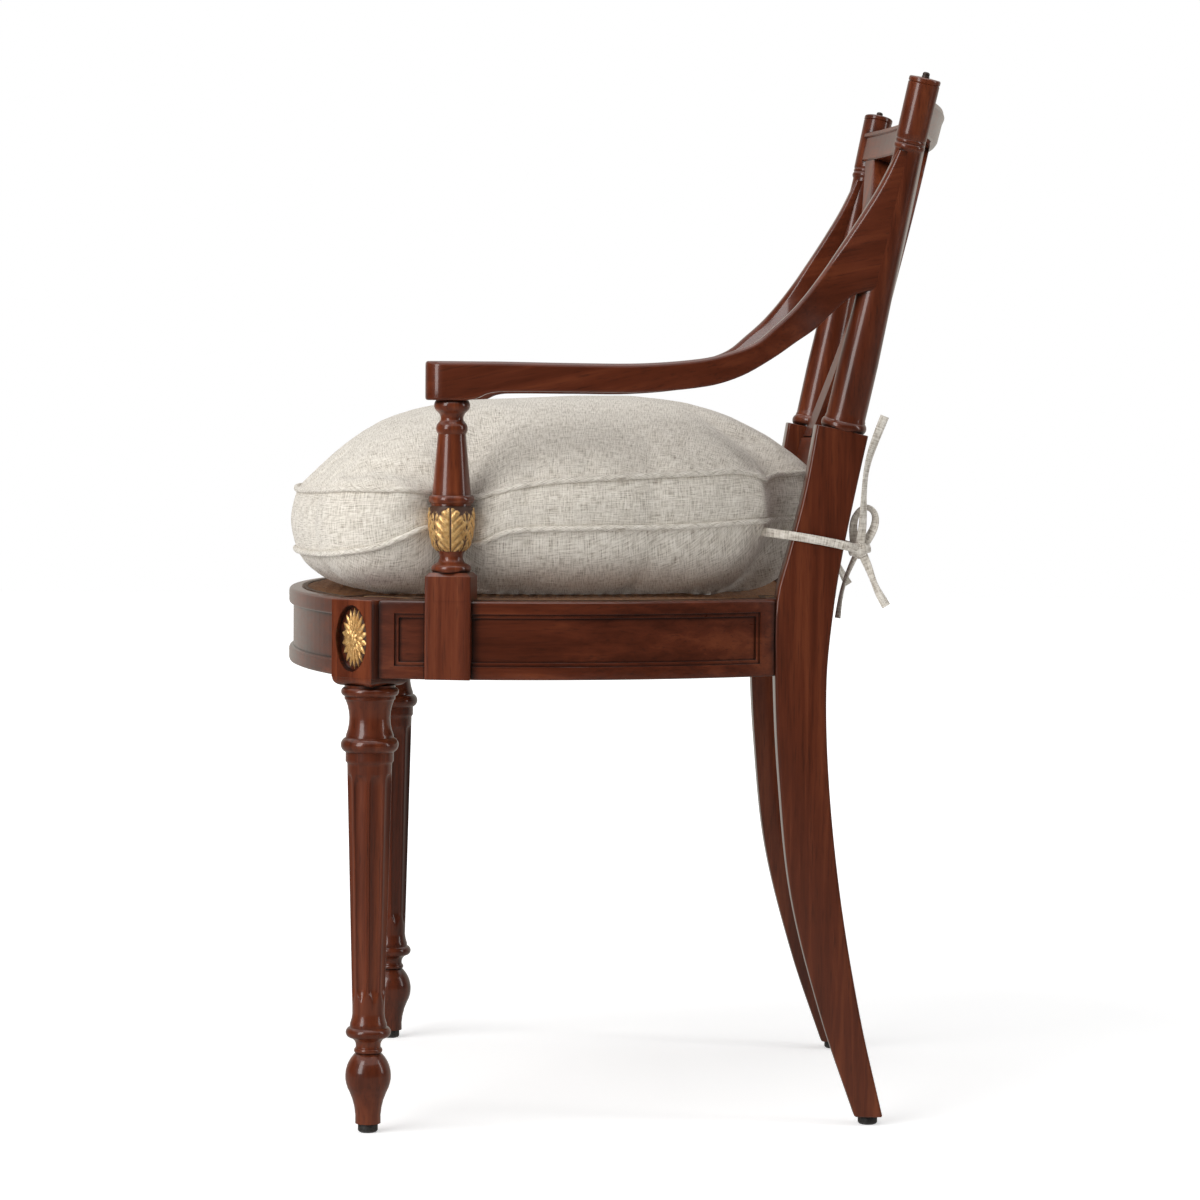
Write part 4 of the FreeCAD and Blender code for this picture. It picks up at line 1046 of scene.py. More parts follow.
leaf_ring, given, shown = repeat_tree("leaf ring", (("Count", "Int"), ("Turn", "Float")))
spots = leaf_ring.nodes.new("GeometryNodePoints")
number = leaf_ring.nodes.new("GeometryNodeInputIndex")
share = leaf_ring.nodes.new("ShaderNodeMath")
share.operation = "DIVIDE"
angle = leaf_ring.nodes.new("ShaderNodeMath")
angle.operation = "MULTIPLY_ADD"
angle.inputs[1].default_value = math.tau
spin = leaf_ring.nodes.new("ShaderNodeCombineXYZ")
leaves = leaf_ring.nodes.new("GeometryNodeInstanceOnPoints")
wired(leaf_ring, (
    (given["Count"], spots.inputs["Count"]), (number.outputs[0], share.inputs[0]),
    (given["Count"], share.inputs[1]), (share.outputs[0], angle.inputs[0]), (given["Turn"], angle.inputs[2]),
    (angle.outputs[0], spin.inputs["Z"]), (spots.outputs[0], leaves.inputs["Points"]),
    (given["Geometry"], leaves.inputs["Instance"]), (spin.outputs[0], leaves.inputs["Rotation"]),
    (leaves.outputs[0], shown),
))
leaf_rows = 10
leaf_columns = 9
rib_half = 0.13
leaf_root = 0.12


def carved_leaf(start, end, half, base, rise, droop):
    """A pointed leaf along X with a ribbed middle: points, faces, wax and painted shade."""
    points = []
    faces = []
    wax = []
    for row in range(leaf_rows):
        share = row / (leaf_rows - 1)
        spread = half * math.sin(math.pi * min(1.0, 0.16 + 0.84 * share)) ** 0.75 + 0.0006
        arch = rise * math.sin(math.pi * (0.15 + 0.75 * share))
        for column in range(leaf_columns):
            aside = 2 * column / (leaf_columns - 1) - 1
            rib = math.exp(-(aside / rib_half) ** 2)
            crest = base + arch * (1 - abs(aside) ** 1.6) - droop * share ** 2 - 0.22 * rise * rib
            points.append((start + (end - start) * share, spread * aside, crest))
            # Wax and painted shade: darker towards the leaf's edges, its rib and its root.
            wax.append(min(1.0, abs(aside) ** 6 + 0.3 * rib + 0.4 * (1 - share) ** 3))
    for row in range(leaf_rows - 1):
        for column in range(leaf_columns - 1):
            low = row * leaf_columns + column
            high = low + leaf_columns
            faces.append((low, high, high + 1, low + 1))
    skirt = len(points)
    last_column = leaf_columns - 1
    rim = list(range(leaf_columns))
    rim += [row * leaf_columns + last_column for row in range(1, leaf_rows)]
    rim += [skirt - leaf_columns + column for column in range(last_column - 1, -1, -1)]
    rim += [row * leaf_columns for row in range(leaf_rows - 2, 0, -1)]
    points += [(points[index][0], points[index][1], base - leaf_root) for index in rim]
    # The turned-down skirt round each leaf is fully dark: painted shade under the leaf.
    wax += [1.0] * len(rim)
    for index in range(len(rim)):
        beside = (index + 1) % len(rim)
        faces.append((rim[index], rim[beside], skirt + beside, skirt + index))
    faces.append(tuple(range(skirt, skirt + len(rim)))[::-1])
    return points, faces, wax


def leaf_wreath(count, turn, leaf):
    """A ring of carved leaves as points, faces, and wax with painted shade."""
    mesh = plain_mesh("leaf", leaf[0], leaf[1])
    mesh.attributes.new("wax", "FLOAT", "POINT").data.foreach_set("value", leaf[2])
    made = grown("wreath", mesh, leaf_ring, {"Count": count, "Turn": turn, "Finish": gilding.material})
    points = [point.co.copy() for point in made.vertices]
    faces = [tuple(face.vertices) for face in made.polygons]
    wax = [item.value for item in made.attributes["wax"].data]
    bpy.data.meshes.remove(made)
    return points, faces, wax


gilt = []
patera_tall = 0.0273
patera_wide = 0.0155
patera_high = 0.0050
wreaths = [
    leaf_wreath(18, 0.0, carved_leaf(0.34, 0.99, 0.125, 0.14, 0.32, 0.12)),
    leaf_wreath(18, math.pi / 18, carved_leaf(0.20, 0.74, 0.105, 0.34, 0.34, 0.10)),
    leaf_wreath(10, 0.0, carved_leaf(0.04, 0.40, 0.095, 0.62, 0.26, 0.22)),
]
boss_profile = [(0.165, 0.55), (0.165, 0.80), (0.140, 0.91), (0.085, 0.97), (0.02, 0.99)]
plate_profile = [(0.90, 0.0), (0.90, 0.10), (0.86, 0.14), (0.30, 0.20)]


def in_oval(x, y, z):
    """A point of the patera, drawn in a circle, set in the sunk oval of the left leg's block."""
    spot = oval_middle + sideways * (y * patera_wide) + Vector((0, 0, x * patera_tall))
    return spot + outward * (z * patera_high - oval_sink)


patera_points, patera_faces = joined([(points, faces) for points, faces, wax in wreaths])
patera_wax_and_shade = [amount for points, faces, wax in wreaths for amount in wax]
boss = turned(boss_profile, 20, in_oval)
back_plate = turned(plate_profile, 54, in_oval)
patera = joined([([in_oval(*point) for point in patera_points], patera_faces), boss, back_plate])
# The boss stays bright; the ground plate between the leaves is fully dark, painted shade.
patera_wax_and_shade += [0.1] * len(boss[0]) + [1.0] * len(back_plate[0])
for made in both_sides("carved_patera", patera, gilding, "gilding", "patera", 50.0):
    gilt.append(made)
    mark_wax_and_shade(made, patera_wax_and_shade)

cup_low = 0.5165
cup_high = 0.5560
cup_turn = 0.14
cup_ground = 0.0012
cup_layers = ((4, 0.0, 0.97, 0.84, 1.0), (4, math.pi / 4, 0.90, 0.42, 0.62))
cup_levels = [
    (cup_low, 0.0128), (0.5200, 0.0158), (0.5235, 0.0174), (0.5345, 0.0198), (0.5445, 0.0204),
    (0.5510, 0.0198), (cup_high, 0.0186),
]
cup_columns = 208
cup_rows = 64
cup_sections = []
cup_wax_and_shade = []
for row in range(cup_rows + 1):
    share = row / cup_rows
    height = cup_low + (cup_high - cup_low) * share
    base = between(cup_levels, min(height, cup_high - 0.00001))[0] - cup_ground
    ring = []
    for column in range(cup_columns):
        angle = math.tau * column / cup_columns
        best = 0.0
        wax = 1.0
        for layer, (count, turn, top, reach, lift) in enumerate(cup_layers):
            spacing = math.tau / count
            apart = (angle - cup_turn - turn + spacing / 2) % spacing - spacing / 2
            climb = share / top
            if climb >= 1:
                continue
            lobes = 0.90 + 0.16 * abs(math.sin(math.pi * (3.6 * climb + 0.15)))
            belly = 0.52 + 0.62 * math.sin(math.pi * climb ** 0.85) ** 0.8
            spread = reach * belly * lobes * (1 - climb ** 7) ** 0.5
            edge = abs(apart) / max(spread, 1e-4)
            if edge >= 1:
                continue
            vein = math.sin(math.tau * (4.4 * (climb - 0.42 * abs(apart) / reach)))
            body = (1 - edge ** 4) ** 0.5
            rib = math.exp(-(apart / 0.045) ** 2)
            off_rib = min(1.0, edge * 3)
            curl = math.exp(-((climb - 0.93) / 0.10) ** 2)
            relief = body * (0.0013 + 0.0006 * vein * off_rib + 0.0006 * curl) - 0.0008 * rib
            relief *= lift
            if relief > best:
                best = relief
                # Wax and painted shade: darker at the leaf edges, the rib and the vein furrows, and more on
                # the second, lower-lying layer.
                hollows = 0.90 * edge ** 5 + 0.90 * rib + 0.45 * max(0.0, -vein) * off_rib
                wax = min(1.0, hollows + 0.12 + 0.12 * layer)
        radius = base + best
        ring.append(on_support(radius * math.cos(angle), radius * math.sin(angle), height))
        cup_wax_and_shade.append(wax)
    cup_sections.append(ring)
for made in both_sides("acanthus_cup", rings(cup_sections), gilding, "gilding", "gilt_leaf_cup", 60.0):
    gilt.append(made)
    mark_wax_and_shade(made, cup_wax_and_shade)


# Glides and pins: domed dark nylon glides nailed under the feet, and a small bronzed pin that
# stands in the top of each post.
nylon = Finish("dark nylon", {"Specular IOR Level": 0.4})
scuff = nylon.grain(nylon.mapped((1.0, 1.0, 1.0)), 700.0, 4.0, 0.65)
scuff_dark = (0.010, 0.009, 0.008, 1)
scuff_pale = (0.045, 0.040, 0.036, 1)
scuff_colour = nylon.blend(nylon.spread(scuff, 0.35, 0.7), scuff_dark, scuff_pale)
nylon.coat({"Base Color": scuff_colour, "Roughness": scuff * 0.3 + 0.4})
bronze = Finish("bronze", {"Specular IOR Level": 0.5})
patina = bronze.grain(bronze.mapped((1.0, 1.0, 1.0)), 800.0, 4.0, 0.6)
bronze_dark = (0.014, 0.009, 0.008, 1)
bronze_pale = (0.060, 0.036, 0.026, 1)
bronze.coat({
    "Base Color": bronze.blend(bronze.spread(patina, 0.3, 0.7), bronze_dark, bronze_pale),
    "Metallic": 0.6 - patina * 0.3, "Roughness": patina * 0.3 + 0.25,
})
glide_profile = drawn([
    (0.0060, 0.0), (0.0081, 0.0008, 0.00885, 0.0030), (0.00885, 0.0064), (0.0082, 0.0080), (0.0030, 0.0080),
])
pin_profile = drawn([
    (0.0015, 0.3140), (0.0034, 0.3196), (0.0034, 0.3216), (0.0030, 0.3222), (0.0031, 0.3238, 0.0022, 0.3249),
    (0.0010, 0.3252, 0.0003, 0.3252),
])
foot_y = 0.2301
front_glide = turned(glide_profile, 32, lambda x, y, z: (leg_x + x, leg_y + y, z))
rear_glide = turned(glide_profile, 32, lambda x, y, z: (foot_x + x, foot_y + y, z))
small_parts = (
    ("front_domed_glide", front_glide, nylon, "glide", "front_glide"),
    ("rear_domed_glide", rear_glide, nylon, "glide", "rear_glide"),
    ("bronze_pin", turned(pin_profile, 24, along_post), bronze, "pin", "finial_pin"),
)
for side, sign in (("left_", 1), ("right_", -1)):
    for name, (points, faces), finish, slot, node in small_parts:
        points = [(sign * x, y, z) for x, y, z in points]
        piece(side + name, points, faces, finish, slot, [side + node])


# Wax and painted shade: brown wax was worked into the joints and hollows of the polished frame, and rubbed
# off the rest; the same dark is also painted shade. It lies where a point of the surface has wood or gilding
# close above it.
wax_and_shade_reach = 0.007
wax_and_shade_start = 0.0006
wax_and_shade_gain = 3.6
painted_shade_on_returns = 0.72
feeler_lifts = (0.72, 0.35)
feeler_count = 10
near_surfaces = BVHTree.FromPolygons(*joined([
    ([point.co.copy() for point in made.data.vertices], [tuple(face.vertices) for face in made.data.polygons])
    for made in polished + gilt
]))
feelers = [(0.0, 0.0, 1.0)]
for number in range(feeler_count):
    lift = feeler_lifts[number % 2]
    level = math.sqrt(1 - lift ** 2)
    turn = math.tau * number / feeler_count
    feelers.append((level * math.cos(turn), level * math.sin(turn), lift))
for made in polished:
    amounts = []
    for point in made.data.vertices:
        normal = point.normal
        aside = normal.orthogonal().normalized()
        beside = normal.cross(aside)
        start = point.co + normal * wax_and_shade_start
        near = 0.0
        for first, second, third in feelers:
            feeler = aside * first + beside * second + normal * third
            reach = near_surfaces.ray_cast(start, feeler, wax_and_shade_reach)[3]
            if reach is not None:
                near += 1 - reach / wax_and_shade_reach
        amount = min(1.0, wax_and_shade_gain * near / len(feelers))
        # Painted shade: the leg block's side faces, where they turn in beside the side rail, are darkened as
        # a recess in shade.
        if made.name.endswith("_fluted_leg") and block_low + 0.003 < point.co.z < block_high - 0.001:
            facing = math.copysign(1.0, point.co.x) * normal.x * outward.x + normal.y * outward.y
            amount = max(amount, painted_shade_on_returns) if abs(facing) < 0.5 else amount
        amounts.append(amount)
    mark_wax_and_shade(made, amounts)


# Seat cushion: a feather-filled box cushion of oatmeal slub linen, its band sewn between two panels
# with self welts. It is notched round the posts, and the arm supports press into its sides.
linen = Finish("slub linen", {"Specular IOR Level": 0.2, "Sheen Weight": 0.25, "Sheen Roughness": 0.5})


def woven_cloth(finish):
    """Loose plain weave in the cloth's own map: thick and thin yarns both ways, with darker flecks."""
    weft, warp, cloud, knots = [
        finish.grain(finish.mapped(squeeze, source=2), scale, detail, roughness)
        for squeeze, scale, detail, roughness in (
            ((0.08, 1.0, 1.0), 960.0, 3.0, 0.6), ((1.0, 0.09, 1.0), 900.0, 3.0, 0.6),
            ((1.0, 1.0, 1.0), 30.0, 3.0, 0.55), ((0.5, 1.0, 1.0), 900.0, 2.0, 0.5),
        )
    ]
    yarn = weft * 0.50 + warp * 0.46 + knots * 0.14 + cloud * 0.06
    tone = finish.spread(yarn, 0.45, 0.70)
    stops = [
        (0.0, (0.325, 0.278, 0.225)), (0.30, (0.545, 0.493, 0.420)), (0.58, (0.705, 0.655, 0.576)),
        (1.0, (0.850, 0.804, 0.726)),
    ]
    finish.coat({
        "Base Color": finish.ramp(tone, stops), "Roughness": 0.98 - tone * 0.1,
        "Normal": finish.bump(yarn * 1.6, 0.65, 0.0011),
    })


woven_cloth(linen)
cushion_bottom = 0.4737
cushion_crown = 0.06882
crown_base = 0.572
crown_ease = 2.6
crown_fullness = 1 / 1.15
support_press = 0.015
support_press_run = 0.030
top_stretch = 0.16
under_stretch = 0.14
band_rows = 9
band_bulge = 0.004
cushion_centre = Vector((0.0, -0.052))
cushion_rings = 34
cushion_half = drawn([
    (0.0, -0.2965), (0.095, -0.2890, 0.178, -0.2645), (0.242, -0.240, 0.262, -0.198),
    (0.2625, -0.176, 0.251, -0.160), (0.2468, -0.1465, 0.250, -0.133), (0.262, -0.112, 0.264, -0.080),
    (0.262, -0.020, 0.247, 0.030), (0.229, 0.083, 0.1975, 0.1290), (0.1925, 0.1350, 0.184, 0.1365),
    (0.166, 0.139, 0.155, 0.153), (0.149, 0.172, 0.132, 0.178), (0.068, 0.184, 0.0, 0.186),
], 3.0)
upper_welt = [
    (-0.310, 0.567), (-0.287, 0.565), (-0.244, 0.569), (-0.209, 0.5695), (-0.168, 0.568), (-0.146, 0.562),
    (-0.122, 0.5645), (-0.104, 0.5690), (-0.087, 0.5733), (-0.056, 0.578), (0.027, 0.583), (0.105, 0.5865),
    (0.121, 0.5845), (0.130, 0.580), (0.141, 0.583), (0.165, 0.585), (0.190, 0.585),
]
lower_welt = [
    (-0.310, 0.510), (-0.276, 0.509), (-0.243, 0.5133), (-0.209, 0.520), (-0.186, 0.530), (-0.171, 0.5367),
    (-0.150, 0.5335), (-0.132, 0.524), (-0.120, 0.5235), (-0.108, 0.5292), (-0.096, 0.5337), (-0.078, 0.5355),
    (-0.028, 0.5369), (0.057, 0.5384), (0.125, 0.5425), (0.190, 0.543),
]
under_levels = [(0.0, 0.0), (0.60, 0.0), (0.77, 0.075), (0.88, 0.29), (0.965, 0.645), (1.0, 1.0)]


def evenly(points, count):
    """So many points spaced evenly round a closed line."""
    closed = points + [points[0]]
    marks = [0.0]
    for first, second in zip(closed, closed[1:]):
        marks.append(marks[-1] + (second - first).length)
    spaced = []
    span = 0
    for index in range(count):
        target = marks[-1] * index / count
        while marks[span + 1] < target:
            span += 1
        share = (target - marks[span]) / max(marks[span + 1] - marks[span], 1e-9)
        spaced.append(closed[span].lerp(closed[span + 1], share))
    return spaced, marks[-1]


whole_outline = cushion_half[:-1] + [Vector((-point.x, point.y)) for point in reversed(cushion_half)][:-1]
rim_count = 8 * cushion_rings
cushion_rim, cushion_round = evenly(whole_outline, rim_count)
for smoothing in range(2):
    relaxed = []
    for index in range(rim_count):
        neighbours = (cushion_rim[index - 1] + cushion_rim[(index + 1) % rim_count]) / 2
        relaxed.append(cushion_rim[index].lerp(neighbours, 0.5))
    cushion_rim = relaxed


def rim_at(share):
    """The point of the outline at a share of the way round."""
    place = (share % 1.0) * rim_count
    first = int(place) % rim_count
    return cushion_rim[first].lerp(cushion_rim[(first + 1) % rim_count], place - int(place))


def welt_height(table, point):
    return between(table, min(max(point.y, table[0][0]), table[-1][0] - 1e-6))[0]


panel_spots = [(0, 0)]
for ring in range(1, cushion_rings + 1):
    for step in range(8 * ring):
        side_number, along_side = divmod(step + ring, 2 * ring)
        offset = along_side - ring
        four_sides = ((offset, -ring), (ring, offset), (-offset, ring), (-ring, -offset))
        panel_spots.append(four_sides[side_number % 4])
spot_index = {spot: index for index, spot in enumerate(panel_spots)}
panel_size = len(panel_spots)
ring_start = panel_size - rim_count
cushion_points = []
cloth_map = []
for panel in ("top", "bottom"):
    for ring in range(cushion_rings + 1):
        for step in range(max(1, 8 * ring)):
            round_share = step / max(1, 8 * ring)
            share = ring / cushion_rings
            edge = rim_at(round_share)
            spot = cushion_centre + (edge - cushion_centre) * share
            if abs(edge.x) > 0.2:
                pinch = support_press * math.exp(-((edge.y - support_y) / support_press_run) ** 2)
                spot.x += math.copysign(pinch * share * (1 - share ** 5), edge.x)
            if panel == "top":
                base = welt_height(upper_welt, edge)
                height = crown_base + (base - crown_base) * share ** 2
                height += cushion_crown * (1 - share ** crown_ease) ** crown_fullness
                stretch = 1.0 + top_stretch * share ** 3
            else:
                base = welt_height(lower_welt, edge)
                rise = between(under_levels, min(share, 0.99999))[0]
                height = max(cushion_bottom, cushion_bottom + (base - cushion_bottom) * rise)
                stretch = 1.0 + under_stretch * share ** 3
            cushion_points.append(Vector((spot.x, spot.y, height)))
            cloth_map.append((edge - cushion_centre) * share * stretch)
cushion_faces = []
for panel in (0, panel_size):
    for row in range(-cushion_rings, cushion_rings):
        for column in range(-cushion_rings, cushion_rings):
            corners = ((column, row), (column + 1, row), (column + 1, row + 1), (column, row + 1))
            face = tuple(panel + spot_index[corner] for corner in corners)
            cushion_faces.append(face if panel == 0 else face[::-1])
band_first = len(cushion_points)
for row in range(1, band_rows):
    share = row / band_rows
    for step in range(rim_count):
        top = cushion_points[ring_start + step]
        bottom = cushion_points[panel_size + ring_start + step]
        spot = top.lerp(bottom, share)
        bulge = band_bulge * math.sin(math.pi * share)
        outwards = (Vector((spot.x, spot.y)) - cushion_centre).normalized()
        cushion_points.append(spot + Vector((outwards.x * bulge, outwards.y * bulge, 0)))
        cloth_map.append(Vector((cushion_round * step / rim_count, 1.0 + spot.z)))


def band_point(row, step):
    step = step % rim_count
    if row == 0:
        return ring_start + step
    if row == band_rows:
        return panel_size + ring_start + step
    return band_first + (row - 1) * rim_count + step


band_start = len(cushion_faces)
for row in range(band_rows):
    for step in range(rim_count):
        corners = ((row, step), (row + 1, step), (row + 1, step + 1), (row, step + 1))
        cushion_faces.append(tuple(band_point(*corner) for corner in corners))
sewn = [band_point(row, step) for row in (0, band_rows) for step in range(rim_count)]
sewn += [index for index, point in enumerate(cushion_points) if point.z < cushion_bottom + 0.0015]

fill_limit = 0.022
fill_steps = 20
band_share = 0.55
filled_mesh = plain_mesh("filling", cushion_points, cushion_faces)
filled_mesh.update()
filled = bpy.data.objects.new("filling", filled_mesh)
scene.collection.objects.link(filled)
filled.vertex_groups.new(name="sewn").add(sewn, 1.0, "REPLACE")
cloth = filled.modifiers.new("filling", "CLOTH")
cloth_ways = {
    "quality": 5, "mass": 0.25, "tension_stiffness": 14.0, "compression_stiffness": 14.0,
    "shear_stiffness": 6.0, "bending_stiffness": 0.35, "use_pressure": True,
    "uniform_pressure_force": 4.0, "shrink_min": -0.025, "vertex_group_mass": "sewn",
}
for key, value in cloth_ways.items():
    setattr(cloth.settings, key, value)
cloth.settings.effector_weights.gravity = 0.0
cloth.collision_settings.use_collision = False
cloth.collision_settings.use_self_collision = False
for number in range(fill_steps):
    scene.frame_set(number + 1)
settled = filled.evaluated_get(bpy.context.evaluated_depsgraph_get()).to_mesh()
for index, point in enumerate(settled.vertices):
    move = point.co - cushion_points[index]
    if move.length > fill_limit:
        move = move * (fill_limit / move.length)
    share = band_share if index >= band_first else 1.0
    cushion_points[index] = cushion_points[index] + move * share
filled.modifiers.clear()
bpy.data.objects.remove(filled)
bpy.data.meshes.remove(filled_mesh)
scene.frame_set(1)

folds = [
    ((-0.124, 0.560), (-0.102, 0.600), 0.0060, 0.0028), ((-0.113, 0.564), (-0.082, 0.590), 0.0060, 0.0022),
    ((-0.126, 0.548), (-0.082, 0.556), 0.0060, 0.0034), ((-0.126, 0.538), (-0.095, 0.544), 0.0050, 0.0028),
    ((-0.168, 0.550), (-0.200, 0.544), 0.0060, 0.0034), ((-0.168, 0.559), (-0.195, 0.560), 0.0050, 0.0026),
    ((-0.170, 0.574), (-0.196, 0.598), 0.0080, 0.0040), ((-0.128, 0.515), (-0.102, 0.500), 0.0080, 0.0040),
    ((-0.168, 0.524), (-0.200, 0.505), 0.0080, 0.0036), ((0.135, 0.585), (0.141, 0.540), 0.0045, 0.0040),
    ((0.124, 0.588), (0.090, 0.605), 0.0070, 0.0034),
]
cushion_mesh = plain_mesh("settled", cushion_points, cushion_faces)
cushion_normals = [point.normal.copy() for point in cushion_mesh.vertices]
bpy.data.meshes.remove(cushion_mesh)


def fold_depth(point):
    """How far the cloth is drawn in at a spot of the cushion's side by the folds that run there."""
    depth = 0.0
    spot = Vector((point.y, point.z))
    for first, last, width, deep in folds:
        first, last = Vector(first), Vector(last)
        run = last - first
        along = (spot - first).dot(run) / run.length_squared
        aside = (spot - first - run * along).length
        if -0.25 < along < 1.25:
            taper = math.cos(math.pi * (held(along) - 0.25) / 1.5)
            taper *= min(1.0, (1.25 - along) * 2, (along + 0.25) * 4)
            groove = math.exp(-(aside / width) ** 2)
            ridge = 0.4 * math.exp(-((aside - 2 * width) / width) ** 2)
            depth += deep * max(0.0, taper) * (groove - ridge)
    return depth * held((abs(point.x) - 0.12) / 0.06)


support_room = [
    (0.47, 0.0265), (0.499, 0.0265), (0.506, 0.0210), (0.562, 0.0210), (0.62, 0.0142), (0.70, 0.0142),
]
post_room = 0.0014
notch_outer = 0.24


def pressed(point):
    """The spot to which the arm supports and the posts press a point of the cushion."""
    side = 1 if point.x > 0 else -1
    apart = Vector((abs(point.x) - support_x, point.y - support_y))
    clear = between(support_room, point.z)[0]
    if apart.length < clear:
        apart = apart * (clear / apart.length)
    x, y = apart.x + support_x, apart.y + support_y
    front = between(post_edges, point.z)[0] - post_room
    inner = post_x - post_half - post_room
    if y > front and inner < x < notch_outer:
        if x - inner < y - front:
            x = inner
        else:
            y = front
    return Vector((side * x, y, point.z))


for index, point in enumerate(cushion_points):
    if point.z > cushion_bottom + 0.002:
        lumps = 0.0016 * noise.noise(point * 14.0) + 0.0006 * noise.noise(point * 42.0)
        drawn_in = fold_depth(point) - lumps
        cushion_points[index] = pressed(point - cushion_normals[index] * drawn_in)

mesh = plain_mesh("linen_cushion", cushion_points, cushion_faces)
cushion_uv = mesh.uv_layers.new(name="cloth")
for face in mesh.polygons:
    for place, loop in enumerate(face.loop_indices):
        spot = cloth_map[mesh.loops[loop].vertex_index]
        if face.index >= band_start:
            row, step = divmod(face.index - band_start, rim_count)
            down = 1.0 + 0.006 * (row + (place in (1, 2)))
            spot = (cushion_round * (step + (place > 1)) / rim_count, down)
        cushion_uv.data[loop].uv = spot
facing_out(mesh)
cushion = dress(mesh, linen, "linen", ["seat_cushion"], 180.0)
softened = cushion.modifiers.new("softened", "SUBSURF")
softened.levels = 1
softened.render_levels = 1

welt_radius = 0.0027
welt_out = 0.0012
welt_sides = 10
welt_side = 0.0017
welt_slant = 0.002
for name, row in (("upper_welt", 0), ("lower_welt", band_rows)):
    line = [cushion_points[band_point(row, step)] for step in range(rim_count)]
    sections = []
    for step in range(rim_count):
        ahead = (line[(step + 1) % rim_count] - line[step - 1]).normalized()
        aside = ahead.cross(Vector((0, 0, 1))).normalized()
        upward_side = aside.cross(ahead)
        reach = welt_radius * (1 + 0.05 * noise.noise(line[step] * 60.0))
        middle = line[step] + aside * welt_out
        ring = []
        for turn_step in range(welt_sides):
            angle = math.tau * turn_step / welt_sides
            ring.append(middle + aside * (reach * math.cos(angle)) + upward_side * (reach * math.sin(angle)))
        sections.append(ring)
    mesh = plain_mesh(name, *rings(sections, looped=True))
    welt_uv = mesh.uv_layers.new(name="cloth")
    for face in mesh.polygons:
        along, around = divmod(face.index, welt_sides)
        for place, loop in enumerate(face.loop_indices):
            near = around + (place in (1, 2))
            far = along + (place in (2, 3))
            run = 0.7 * cushion_round * far / rim_count
            welt_uv.data[loop].uv = (run + welt_side * near, welt_side * near - welt_slant * far)
    facing_out(mesh)
    dress(mesh, linen, "linen", [], 180.0)


# Cushion ties: two leads of folded linen tape on each side, sewn into the cushion's rear corner,
# brought round the post, knotted behind it and finished in a bow with loose tails.
linen_tape = Finish("linen tape", {"Specular IOR Level": 0.2, "Sheen Weight": 0.25})
woven_cloth(linen_tape)
knot_middle = Vector((0.199, 0.217, 0.5175))
tape_width = 0.008
tape_half = 0.0011
tape_sides = 14
wrap_sides = 8
wrap_steps = 28
wrap_half = 0.0038
wrap_run = 0.0015
least_width = 0.35
knot_wraps = ((1.75, 0.0078, 0.0092), (0.55, 0.0066, 0.0072), (2.75, 0.0060, 0.0070))
# Each tape: its turn and twist, its far end, how it lies, and its route in millimetres from the knot.
ties = {
    "tie_outer_lead": (0.0, 0.25, "knot", "taut", (
        (-13, -88, 15.5), (7, -78, 14.5), (15, -57, 12), (15.8, -30, 7.5), (15, -11, 3.5), (8, -2, 1),
        (0, 0, 0),
    )),
    "tie_inner_lead": (0.0, 0.25, "knot", "taut", (
        (-51, -71, 15), (-39, -60, 13.8), (-32.8, -39, 10.5), (-32.6, -17, 5.5), (-25, -5, 2),
        (-12, -1, 0.5), (0, 0, 0),
    )),
    "tie_upper_tail": (0.0, 0.95, "bare", "hanging", (
        (3, 0, 2.5), (4.5, 2.5, 23.5), (5.5, 2.6, 48.5), (6, 4.6, 73.5), (6.5, 11.3, 96.5), (7, 20.5, 119.5),
    )),
    "tie_bow": (0.0, 0.95, "object", "hanging", (
        (-4, -4, 3.5), (-5, -6.2, 17.5), (-5.5, -4, 30.5), (-5, 4.5, 39.5), (-4, 13.5, 34.5),
        (-3, 14.5, 23.5), (-2, 9, 11.5), (-1, 2, 1.5),
    )),
    "tie_right_tail": (0.0, 0.95, "bare", "hanging", (
        (2, 2, -2.5), (4, 7.5, -14.5), (5, 12.5, -28.5), (5.6, 18, -40.5), (6, 24, -50),
    )),
    "tie_left_tail": (1.0, 0.3, "bare", "hanging", (
        (-2, -3, -4.5), (-4, -9, -17.5), (-5.4, -14, -32.5), (-6, -17, -47.5), (-6, -18.5, -61.5),
    )),
}


def smooth_route(points):
    """The smooth line of a limp tape through the neighbourhood of its route's points."""
    curve = bpy.data.curves.new("route", "CURVE")
    curve.dimensions = "3D"
    curve.resolution_u = 10
    spline = curve.splines.new("NURBS")
    spline.points.add(len(points) - 1)
    for control, point in zip(spline.points, points):
        control.co = (*point, 1.0)
    spline.order_u = 3
    spline.use_endpoint_u = True
    holder = bpy.data.objects.new("route", curve)
    scene.collection.objects.link(holder)
    mesh = bpy.data.meshes.new_from_object(holder.evaluated_get(bpy.context.evaluated_depsgraph_get()))
    line = [point.co.copy() for point in mesh.vertices]
    bpy.data.meshes.remove(mesh)
    bpy.data.objects.remove(holder)
    bpy.data.curves.remove(curve)
    return line


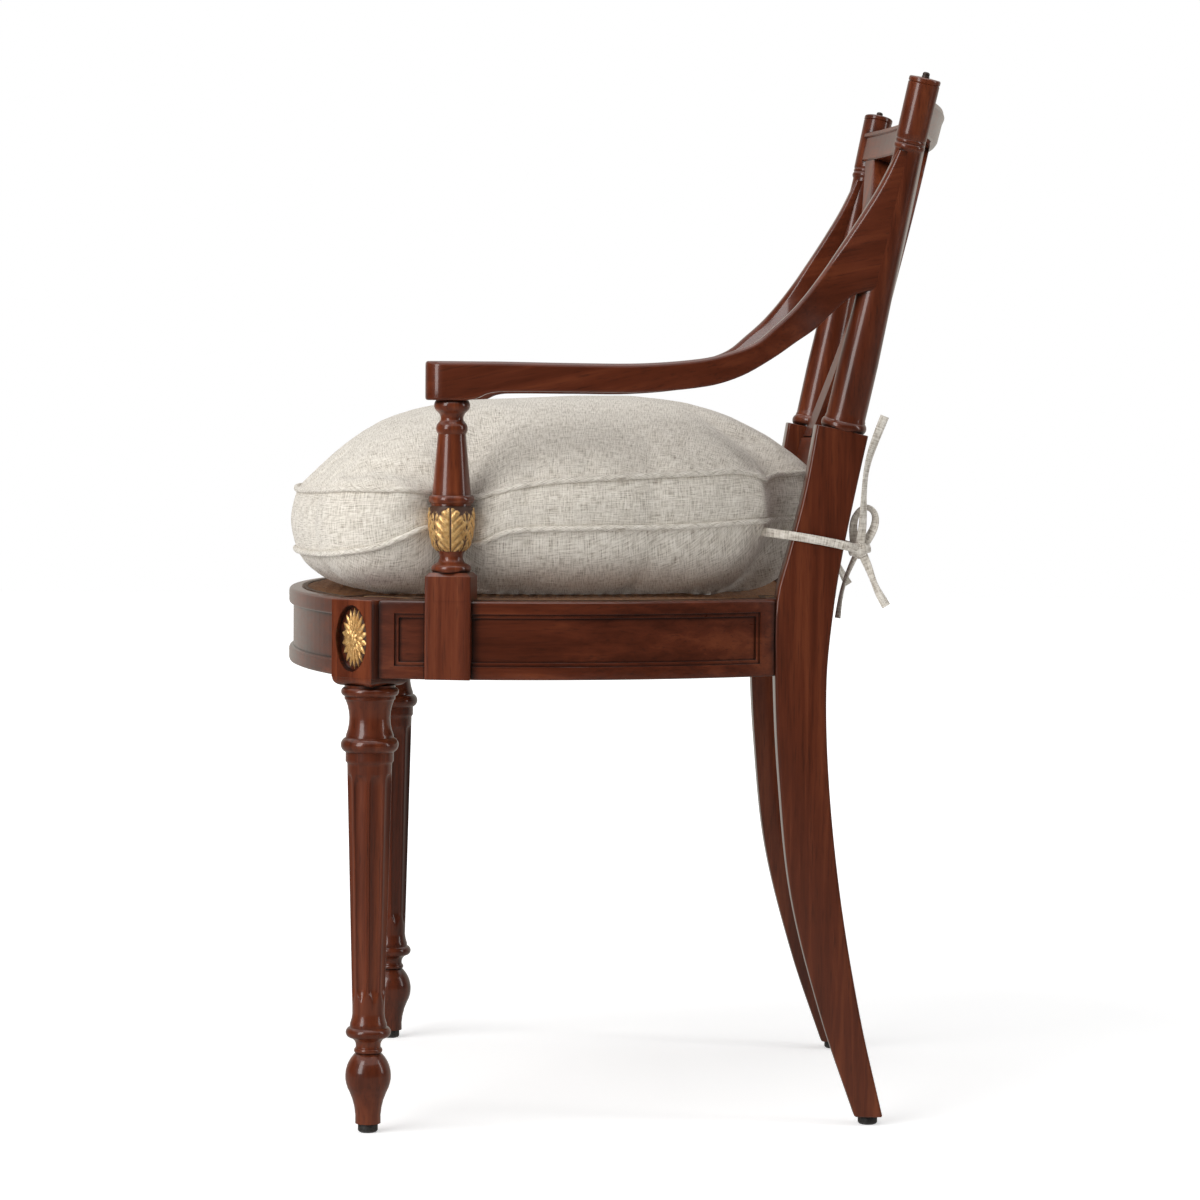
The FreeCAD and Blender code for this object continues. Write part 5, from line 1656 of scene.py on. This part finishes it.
def tape(line, sign, turn, twist):
    """A flat tape along a line, its width turned from the chair's side and twisted further half way."""
    sections = []
    beyond = len(line) - 1
    for index, point in enumerate(line):
        ahead = (line[min(index + 1, beyond)] - line[max(index - 1, 0)]).normalized()
        wide = Vector((sign, 0, 0)).cross(ahead)
        if wide.length < least_width:
            wide = wide + Vector((0, 0, least_width))
        wide = (wide - ahead * wide.dot(ahead)).normalized()
        roll = sign * (turn + twist * math.sin(math.pi * index / beyond))
        wide = Matrix.Rotation(roll, 3, ahead) @ wide
        thick = ahead.cross(wide).normalized()
        ring = []
        for step in range(tape_sides):
            angle = math.tau * step / tape_sides
            flat = math.copysign(abs(math.cos(angle)) ** 0.6, math.cos(angle))
            ring.append(point + wide * (flat * tape_width / 2) + thick * (math.sin(angle) * tape_half))
        sections.append(ring)
    return rings(sections)


def tape_map(made, around, step):
    """A cloth map for a tape: along it one way, over its width the other."""
    layer = made.data.uv_layers.new(name="cloth")
    for face in made.data.polygons:
        for loop in face.loop_indices:
            along, place = divmod(made.data.loops[loop].vertex_index, around)
            layer.data[loop].uv = (along * step, abs(place - around / 2) * 2 * tape_width / around)


for side, sign in (("left", 1), ("right", -1)):
    knot = Vector((sign * knot_middle.x, knot_middle.y, knot_middle.z))
    wraps = []
    for lean, half_across, reach in knot_wraps:
        spin = Matrix.Rotation(lean, 3, "X")
        aside = spin @ Vector((0, wrap_half, 0))
        sections = []
        bends = [math.tau * step / wrap_sides for step in range(wrap_sides)]
        for index in range(wrap_steps):
            angle = math.tau * index / wrap_steps
            centre = spin @ Vector((-sign * half_across * math.cos(angle), 0, reach * math.sin(angle)))
            outside = centre.normalized() * tape_half
            sections.append([
                knot + centre + aside * math.cos(bend) + outside * math.sin(bend) for bend in bends
            ])
        wraps.append(rings(sections, looped=True))
    wrapped = piece(side + "_tie_wraps", *joined(wraps), linen_tape, "linen", [side + "_tie_knot"], 80.0)
    tape_map(wrapped, wrap_sides, wrap_run)
    for name, (turn, twist, far_end, lay, steps) in ties.items():
        line = smooth_route([knot + Vector((sign * x, y, z)) / 1000 for x, y, z in steps])
        length = sum((second - first).length for first, second in zip(line, line[1:]))
        shape = tape(line, sign, turn, twist)
        strip = piece(side + "_" + name + "_tape", *shape, linen_tape, "linen", [side + "_" + name], 60.0)
        tape_map(strip, tape_sides, length / len(line))
